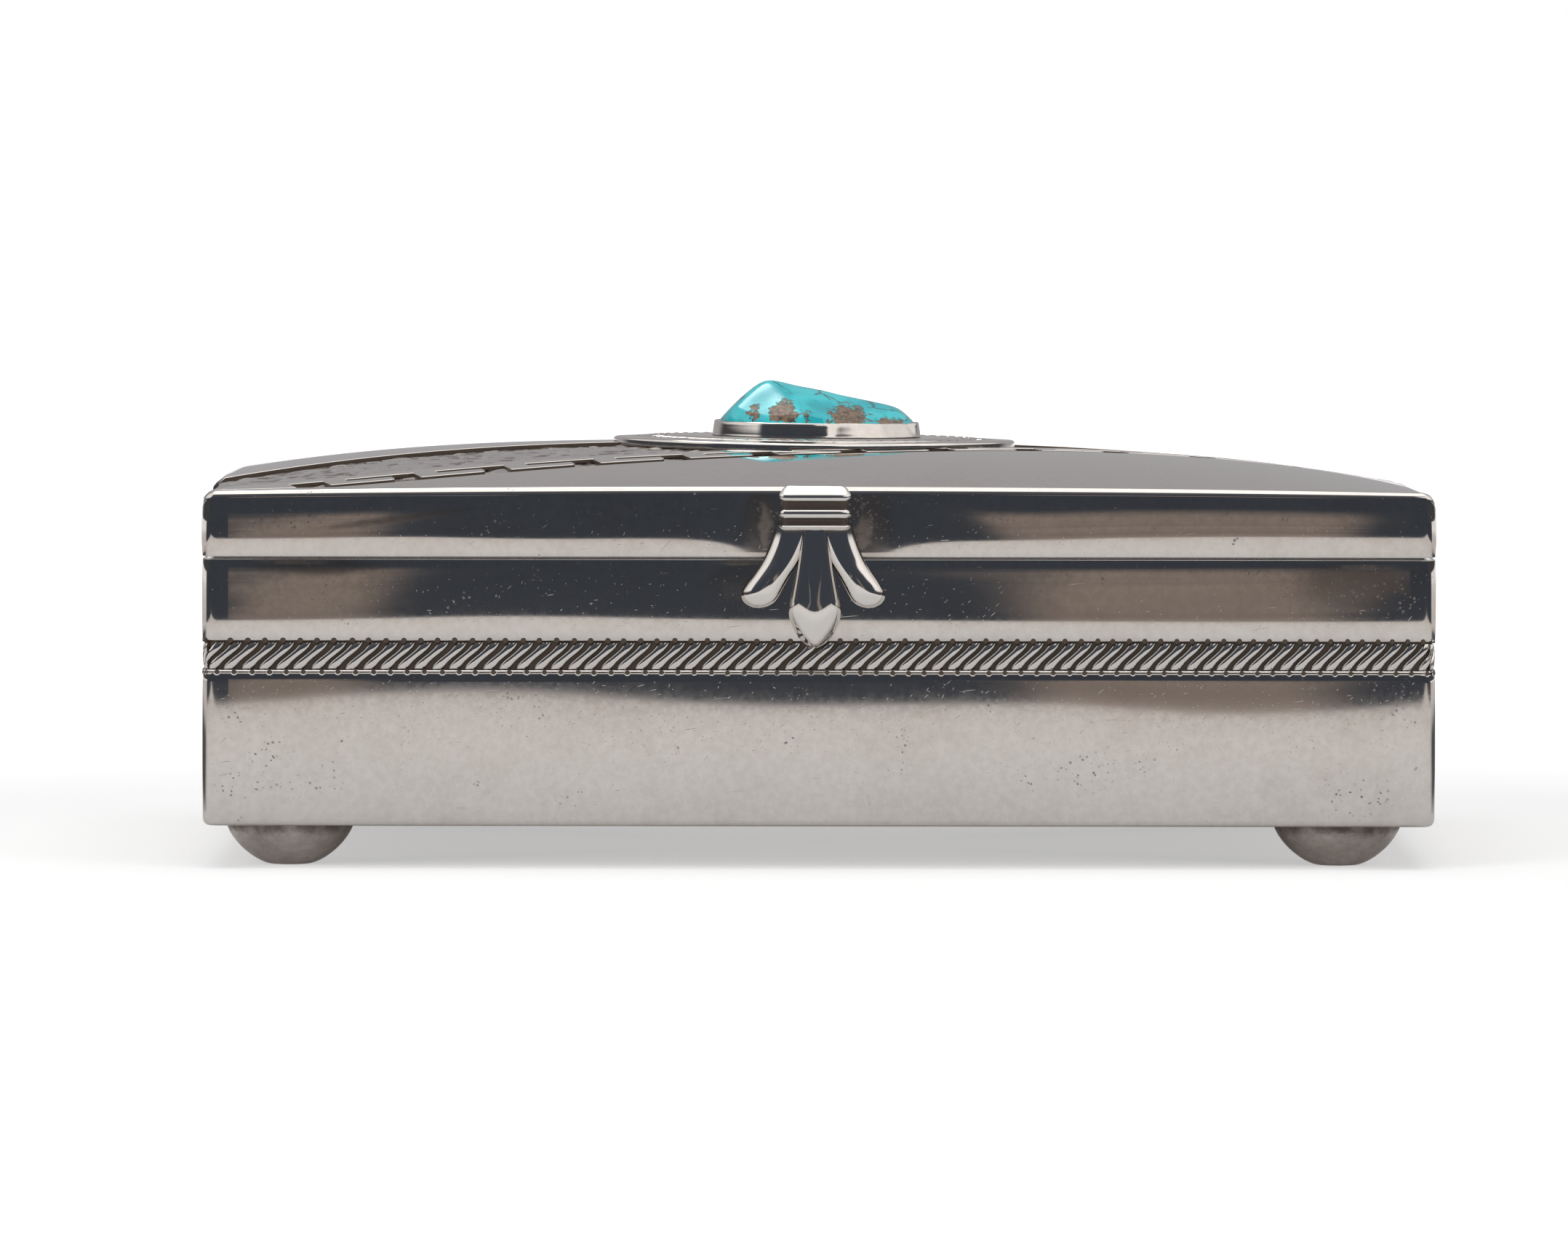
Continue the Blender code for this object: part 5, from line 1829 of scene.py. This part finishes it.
@dataclass(frozen=True)
class Leaf:
    """One leaf of the thumb piece, in the front's plane, from the foot of the neck, in millimetres.

    Attributes:
        left: Points down its left edge.
        right: Points down its right edge, as many.
        depths: How far its middle stands out at each of them.
        edge: How thick its rim is, as a share of that.
        powers: How flat its top is on the left and on the right.
        spoon: How many rows earlier its sides fall to the tip than its middle.
    """

    left: tuple[Pair, ...]
    right: tuple[Pair, ...]
    depths: tuple[float, ...]
    edge: float = 0.30
    powers: Pair = (4.5, 2.0)
    spoon: float = 0.0

    def mirrored(self, stretch: float) -> "Leaf":
        """The same leaf on the other side, a little wider."""
        left = tuple((-x * stretch, z) for x, z in self.right)
        right = tuple((-x * stretch, z) for x, z in self.left)
        return Leaf(left, right, self.depths, self.edge, self.powers[::-1], self.spoon)

    def add_to(self, draft: MeshDraft, origin: Vector) -> None:
        """Add the leaf to a draft.

        Args:
            draft: Where it goes.
            origin: The foot of the neck, on the back of the piece.
        """
        rows, across = 46, 23
        sides = []
        for points in (self.left, self.right):
            xs, zs = zip(*points)
            sides.append(np.column_stack((smooth_shares(xs, rows), smooth_shares(zs, rows))) * MM)
        depths = np.maximum(smooth_shares(self.depths, rows), 0.2) * MM
        rings, grime = [], []
        for row, (left, right) in enumerate(zip(*sides)):
            middle, half = (left + right) / 2, (right - left) / 2
            early = self.spoon * (1 - row / (rows - 1)) ** 0.5
            ring = []
            for u in np.sin(np.linspace(-pi / 2, pi / 2, across)):
                depth = float(np.interp(row + early * u * u, np.arange(rows), depths))
                dome = self.edge + (1 - self.edge) * (1 - abs(u) ** self.powers[int(u > 0)]) ** 0.5
                x, z = middle + half * u
                ring.append((origin.x + x, origin.y - depth * dome, origin.z + z))
            for u in (1.0, -1.0):
                x, z = middle + half * u * 0.97
                ring.append((origin.x + x, origin.y + 0.05 * MM, origin.z + z))
            rings.append(ring)
            grime += [0.0] * across + [1.0, 1.0]
        draft.add_rings(rings, grime=grime)


MIDDLE_HALF_WIDTHS = (1.43, 1.61, 1.92, 2.28, 2.66, 3.01, 3.19, 3.10, 2.72, 2.14, 1.29, 0.45)
MIDDLE_LEVELS = (0.40, -1.21, -2.99, -5.05, -6.92, -8.62, -9.96, -11.03, -12.1, -13.17, -14.07, -14.56)
MIDDLE_LEAF = Leaf(
    left=tuple((-w, z) for w, z in zip(MIDDLE_HALF_WIDTHS, MIDDLE_LEVELS)),
    right=tuple(zip(MIDDLE_HALF_WIDTHS, MIDDLE_LEVELS)),
    depths=(2.15, 2.27, 2.38, 2.49, 2.58, 2.63, 2.65, 2.61, 2.46, 2.16, 1.62, 0.8),
    edge=0.55,
    powers=(2.6, 2.6),
    spoon=22.0,
)
SIDE_LEAF = Leaf(
    left=((0.84, 0.58), (0.93, -0.85), (1.29, -2.37), (2.0, -4.15), (2.95, -5.76), (3.72, -7.19),
          (4.32, -8.35), (4.86, -9.06), (5.66, -9.51), (6.46, -9.69)),
    right=((4.68, 0.58), (4.86, -0.67), (5.3, -2.1), (6.1, -3.88), (7.09, -5.4), (7.98, -6.65),
           (8.52, -7.64), (8.6, -8.44), (8.16, -9.15), (7.36, -9.6)),
    depths=(2.0, 2.08, 2.18, 2.3, 2.4, 2.42, 2.35, 2.1, 1.65, 1.0),
)


@dataclass(frozen=True)
class ThumbPiece:
    """A beaded neck and three leaves that hang over the front of the case."""

    thickness: float = 2.65 * MM
    neck_width: float = 8.8 * MM
    neck_height: float = 5.0 * MM
    groove: float = 0.75 * MM
    bead_middles: tuple[float, ...] = (4.45, 1.96, 0.35)
    leaves: tuple[Leaf, ...] = (SIDE_LEAF, SIDE_LEAF.mirrored(1.05), MIDDLE_LEAF)
    # Down the neck: the height in millimetres, and how far that place stands out of the grooves.
    neck: tuple[Pair, ...] = (
        (5.42, -0.5), (5.36, -0.2), (5.25, 0.0), (5.1, 0.16), (4.7, 0.53), (4.3, 0.88), (4.15, 0.97),
        (4.0, 1.0), (3.8, 1.0), (3.62, 0.9), (3.5, 0.6), (3.42, 0.0), (3.0, -0.1), (2.62, 0.0), (2.54, 0.5),
        (2.42, 0.8), (2.2, 0.95), (1.96, 1.0), (1.7, 0.95), (1.5, 0.8), (1.38, 0.5), (1.3, 0.0), (1.0, -0.1), (0.7, 0.0),
        (0.64, 0.55), (0.55, 0.85), (0.42, 1.0), (0.3, 0.9), (0.15, 0.6), (-0.3, 0.2),
    )

    def neck_rings(self, origin: Vector) -> tuple[list[list[Place]], list[float]]:
        """The rings of the neck, from its top down, and the grime at each point."""
        rings, grime, bevel = [], [], 0.85 * MM
        for level, bead in self.neck:
            z = origin.z + level * MM
            depth = self.thickness - self.groove * (1 - bead)
            reach = self.neck_width / 2 - self.groove * 0.45 * (1 - bead)
            middle = min(self.bead_middles, key=lambda place: abs(place - level))
            pull = 0.0 if level in (3.0, 1.0) else (middle - level) * MM
            ring = [(-reach, 0.3 * MM, z + 0.5 * pull)]
            for turn in np.linspace(0, pi / 2, 6):
                away = 0.5 * (1 - sin(turn)) * pull
                ring.append((-reach + bevel * (1 - cos(turn)), -depth + bevel * (1 - sin(turn)), z + away))
            ring.append((-(reach - bevel) * 0.5, -depth, z))
            ring += [(0.0, -depth, z)] + [(-x, y, height) for x, y, height in reversed(ring)]
            rings.append([(origin.x + x, origin.y + y, height) for x, y, height in ring])
            grime += [float(1 - smooth_step(bead, 0.2, 0.7)) * (level < 3.7)] * len(ring)
        return rings, grime

    def build(self, finishes: Finishes) -> None:
        """Build and dress the thumb piece."""
        top = float(SKIN.height(ORNAMENT_X, -HALF_DEPTH)) - 0.02 * MM
        origin = Vector((ORNAMENT_X, -HALF_DEPTH - 0.35 * MM, top - self.neck_height))
        rings, grime = self.neck_rings(origin)
        draft = MeshDraft().add_rings(rings, grime=grime)
        for leaf in self.leaves:
            leaf.add_to(draft, origin)
        mesh = draft.finish("leaf_thumb_piece", 50)
        fit("leaf_thumb_piece", mesh, finishes.thumb, Body.LID, Slot.POLISHED, "thumb_piece")


@dataclass(frozen=True)
class Hinge:
    """Bearers, knuckles and the pin, behind the joint of case and lid."""

    radius: float = 1.3 * MM
    bore: float = 0.78 * MM
    length: float = 16 * MM
    gap: float = 0.3 * MM
    count: int = 5
    pin_clearance: float = 0.06 * MM
    head_radius: float = 1.1 * MM
    head_length: float = 0.6 * MM
    clearance: float = 0.25 * MM

    def turned(self, name: str, profile: Sequence[Pair], x: float, closed: bool) -> Mesh:
        """A turned piece along X, on the hinge's axis.

        Args:
            name: The mesh's name.
            profile: The place along X and the radius of each ring, from its left end to its middle.
            x: Where its middle lies.
            closed: Join the last ring to the first, as in a tube.

        Returns:
            The mesh.
        """
        rings = []
        for along, r in [*profile, *((-along, r) for along, r in reversed(profile))]:
            rings.append([(x + along, HINGE_Y + r * cos(t), HINGE_Z + r * sin(t)) for t in around(48)])
        return MeshDraft().add_rings(rings, closed=closed).finish(name)

    def build(self, finishes: Finishes, frame: dict) -> None:
        """Build and dress the knuckles and the pin, and dress the bearers."""
        pitch = self.length + self.gap
        end, ease, radius = -self.length / 2, 0.15 * MM, self.radius
        profile = [(end, self.bore), (end, radius - ease), (end + ease * 0.3, radius - ease * 0.3),
                   (end + ease, radius)]
        for i in range(self.count):
            body = Body.LID if i % 2 else Body.CASE
            name = f"hinge_knuckle_{i + 1}"
            mesh = self.turned(name, profile, (i - (self.count - 1) / 2) * pitch, True)
            fit(name, mesh, finishes.satin, body, Slot.SATIN, f"{body.value}_knuckle_{i + 1}")
        end = -((self.count * pitch - self.gap) / 2 + self.clearance)
        pin, head, radius = self.bore - self.pin_clearance, self.head_length, self.head_radius
        profile = [(end - head * out, radius * share) for out,
                   share in ((1, 0.6), (0.8, 0.9), (0.5, 1), (0, 1))]
        rod = self.turned("hinge_rod", profile + [(end, pin)], 0, False)
        fit("hinge_rod", rod, finishes.satin, Body.CASE, Slot.SATIN, "hinge_pin")
        for node in ("case_bearer", "lid_bearer"):
            bearer = frame["nodes"][node]
            bearer.data.materials.clear()
            bearer.data.materials.append(finishes.satin)
            LOG.info("%s: the packed node, dressed", node)


@dataclass(frozen=True)
class Studio:
    """Floor, reflecting tent, lamps and camera."""

    floor_radius: float = 7.0
    tent_radius: float = 6.0
    table_front: float = 0.50
    camera_place: Place = (-0.0043, -0.049 - 1.4466, 0.10165)
    camera_pitch: float = 90 - 2.84
    camera_roll: float = 0.08

    def ray_kinds(self, bench: NodeBench) -> tuple[Signal, Signal]:
        """Whether the ray is the camera's, and whether it is a reflection or goes through glass."""
        rays = bench.outputs("ShaderNodeLightPath")
        return rays["Is Camera Ray"], bench.most(rays["Is Glossy Ray"], rays["Is Transmission Ray"])

    def room_tree(self) -> Tree:
        """The dark room that the front mirrors, with two dim shapes in it.

        Returns:
            The group. Its output is the room's colour, by where on the front it shows.
        """
        bench, _ = new_group("room_in_front", "ShaderNodeTree", {}, {"Color": "NodeSocketColor"})
        place = bench.place()
        axes = bench.axes(place)
        x0, y0, _ = self.camera_place
        on_front = (axes["X"] - x0) / ((2 * -HALF_DEPTH - y0) - axes["Y"]) * (-HALF_DEPTH - y0) + x0
        seen = on_front + (bench.noise(place, 9.0, 3.0, 0.6) * 0.010 - 0.005)
        right = bench.band(seen, 0.020, 0.029, 0.058, 0.068)
        left = bench.band(seen, -0.0735, -0.0715, -0.060, -0.050)
        rise = axes["Z"] / bench.vector("LENGTH", place)
        cloudy = bench.step(bench.noise(place, 4.0, 4.0, 0.6), 0.25, 0.7, 0.7, 1.05)
        shapes = bench.most(right, left) * bench.fall(rise, 0.012, 0.05) * cloudy
        room = bench.mix(bench.step(rise, 0.17, 0.72), (0.046, 0.053, 0.066), (0.10, 0.10, 0.11))
        return bench.put(Color=bench.mix(shapes, room, (0.275, 0.225, 0.195)))

    def floor_material(self, room: Tree) -> Material:
        """White for the camera, with the box's shadow. Reflections see a table and a dark room before it."""
        material, bench, shader = new_material("studio_floor")
        camera, mirror = self.ray_kinds(bench)
        place = bench.place()
        axes, radius = bench.axes(place), bench.vector("LENGTH", place)
        ahead = axes["Y"] * -1.0
        outward = bench.most(ahead, bench.math("ABSOLUTE", axes["X"]))
        beyond = bench.step(outward, self.table_front - 0.012, self.table_front + 0.012)
        dark = bench.step(ahead / radius, 0.05, 0.2) * beyond
        band = bench.band(radius, 0.13, 0.2, 0.34, 0.5) * bench.step(axes["Y"] / radius, -0.35, 0.1)
        table = bench.mix(bench.step(radius, 0.1, 0.55), (0.07, 0.066, 0.063), (0.60, 0.56, 0.535))
        table = bench.mix(bench.step(radius, 0.6, 1.2), table, (0.95, 0.94, 0.93))
        table = bench.mix(band, table, (0.10, 0.10, 0.105))
        seen = bench.step(radius, 0.12, 0.45, 0.46, 1.05)
        glow = bench.mix(camera, BLACK, bench.get("ShaderNodeCombineColor", seen, seen, seen))
        mirrored = bench.mix(dark, table, bench.get("ShaderNodeGroup", node_tree=room))
        matt = mirror * bench.most(dark, bench.step(radius, 0.16, 0.6), band)
        bench.feed(shader, {
            "Base Color": bench.mix(matt, (0.8, 0.8, 0.8), BLACK),
            "Roughness": 1.0,
            "Specular IOR Level": 0.0,
            "Emission Color": bench.mix(mirror, glow, mirrored),
            "Emission Strength": 1.0,
        })
        return material

    def tent_material(self, room: Tree) -> Material:
        """What silver mirrors above the floor: a dark room, white cloth beside it, a soft light overhead."""
        material, bench, shader = new_material("studio_tent")
        bench.tree.nodes.remove(shader)
        way = bench.vector("NORMALIZE", bench.place())
        axes = bench.axes(way)
        rise = bench.math("ARCSINE", axes["Z"]) * (180 / pi)
        turn = bench.math("ARCTAN2", bench.math("ABSOLUTE", axes["X"]), axes["Y"] * -1.0) * (180 / pi)
        sides = bench.mix(bench.step(rise, 9, 18), (0.06, 0.06, 0.065), (0.90, 0.88, 0.86))
        tone = bench.mix(bench.step(turn, 120, 140), sides, (0.385, 0.372, 0.378))
        tone = bench.mix(bench.fall(turn, 48, 58), tone, bench.get("ShaderNodeGroup", node_tree=room))
        right = bench.band(turn, 8, 14, 78, 86) * bench.math("GREATER_THAN", axes["X"], 0.0)
        tone = bench.mix(right * bench.band(rise, 22, 28, 44, 50), tone, (1.05, 1.0, 0.97))
        tone = bench.mix(bench.step(rise, 50, 58), tone, (1.35, 1.33, 1.30))
        lamp = bench.vector("DISTANCE", way, (-0.16, 0.56, 0.813))
        tone = bench.mix(bench.fall(lamp, 0.06, 0.2), tone, (6.0, 5.9, 5.8))
        glow = bench.get("ShaderNodeEmission", Color=tone, Strength=1.0)
        bench.feed(bench.tree.nodes["Material Output"], {"Surface": glow})
        return material

    def add_prop(self, bm: bmesh.types.BMesh, material: Material) -> bpy.types.Object:
        """A studio piece of that shape and material."""
        mesh = bpy.data.meshes.new(material.name)
        bm.to_mesh(mesh)
        bm.free()
        mesh.materials.append(material)
        return new_object(material.name, mesh)

    def add_floor(self, room: Tree) -> bpy.types.Object:
        """The floor, a wide disc."""
        bm = bmesh.new()
        bmesh.ops.create_circle(bm, cap_ends=True, segments=96, radius=self.floor_radius)
        return self.add_prop(bm, self.floor_material(room))

    def add_tent(self, room: Tree) -> bpy.types.Object:
        """The tent, a half sphere that only reflections see."""
        bm = bmesh.new()
        bmesh.ops.create_uvsphere(bm, u_segments=96, v_segments=48, radius=self.tent_radius)
        bmesh.ops.delete(bm, geom=[vertex for vertex in bm.verts if vertex.co.z < -0.01], context="VERTS")
        tent = self.add_prop(bm, self.tent_material(room))
        for kind in ("camera", "diffuse", "shadow", "volume_scatter", "transmission"):
            setattr(tent, f"visible_{kind}", False)
        return tent

    def add_lamp(self, name: str, place: Place, size: float, power: float) -> None:
        """A soft square lamp that faces the box and that reflections don't see."""
        lamp = new_object(name, bpy.data.lights.new(name, "AREA"))
        lamp.data.size, lamp.data.energy, lamp.location = size, power, place
        lamp.rotation_euler = (Vector((0, 0, 0.03)) - Vector(place)).to_track_quat("-Z", "Y").to_euler()
        lamp.visible_glossy = lamp.visible_camera = False

    def add_world(self) -> None:
        """White behind everything that the camera or a reflection sees, and a faint fill otherwise."""
        world = bpy.data.worlds.new("studio_world")
        bpy.context.scene.world = world
        world.use_nodes = True
        bench = NodeBench(world.node_tree)
        strength = bench.step(bench.most(*self.ray_kinds(bench)), 0.0, 1.0, 0.22, 1.0)
        bench.feed(world.node_tree.nodes["Background"], {"Color": (1, 1, 1), "Strength": strength})

    def add_camera(self) -> None:
        """The camera, where the photographer stood."""
        camera = new_object("photo_camera", bpy.data.cameras.new("photo_camera"))
        camera.data.lens, camera.data.sensor_width, camera.location = 270, 36, self.camera_place
        pitch = Matrix.Rotation(radians(self.camera_pitch), 3, "X")
        camera.rotation_euler = (pitch @ Matrix.Rotation(radians(self.camera_roll), 3, "Z")).to_euler()
        bpy.context.scene.camera = camera

    def build(self) -> None:
        """Set up the studio."""
        room = self.room_tree()
        self.add_floor(room)
        self.add_tent(room)
        self.add_lamp("lamp_above", (0.0, -0.15, 1.3), 1.3, 6.5)
        self.add_lamp("lamp_front_left", (-0.9, -1.1, 0.7), 0.8, 6.0)
        self.add_lamp("lamp_front_right", (1.1, -0.9, 0.6), 0.8, 3.5)
        self.add_world()
        self.add_camera()
        bpy.context.scene.view_settings.view_transform = "Standard"


def main(frame: dict) -> None:
    """Build the studio and dress the box, piece by piece.

    Args:
        frame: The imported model.
    """
    Studio().build()
    finishes = Finishes()
    for part in (CaseShell(), RopeBorder(), ButtonFeet(), LidShell(), Medallion(), SetStone(), ThumbPiece()):
        part.build(finishes)
    Hinge().build(finishes, frame)


if __name__ == "__main__":
    logging.basicConfig(level=logging.INFO, format="%(message)s")
    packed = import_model()
    main(packed)
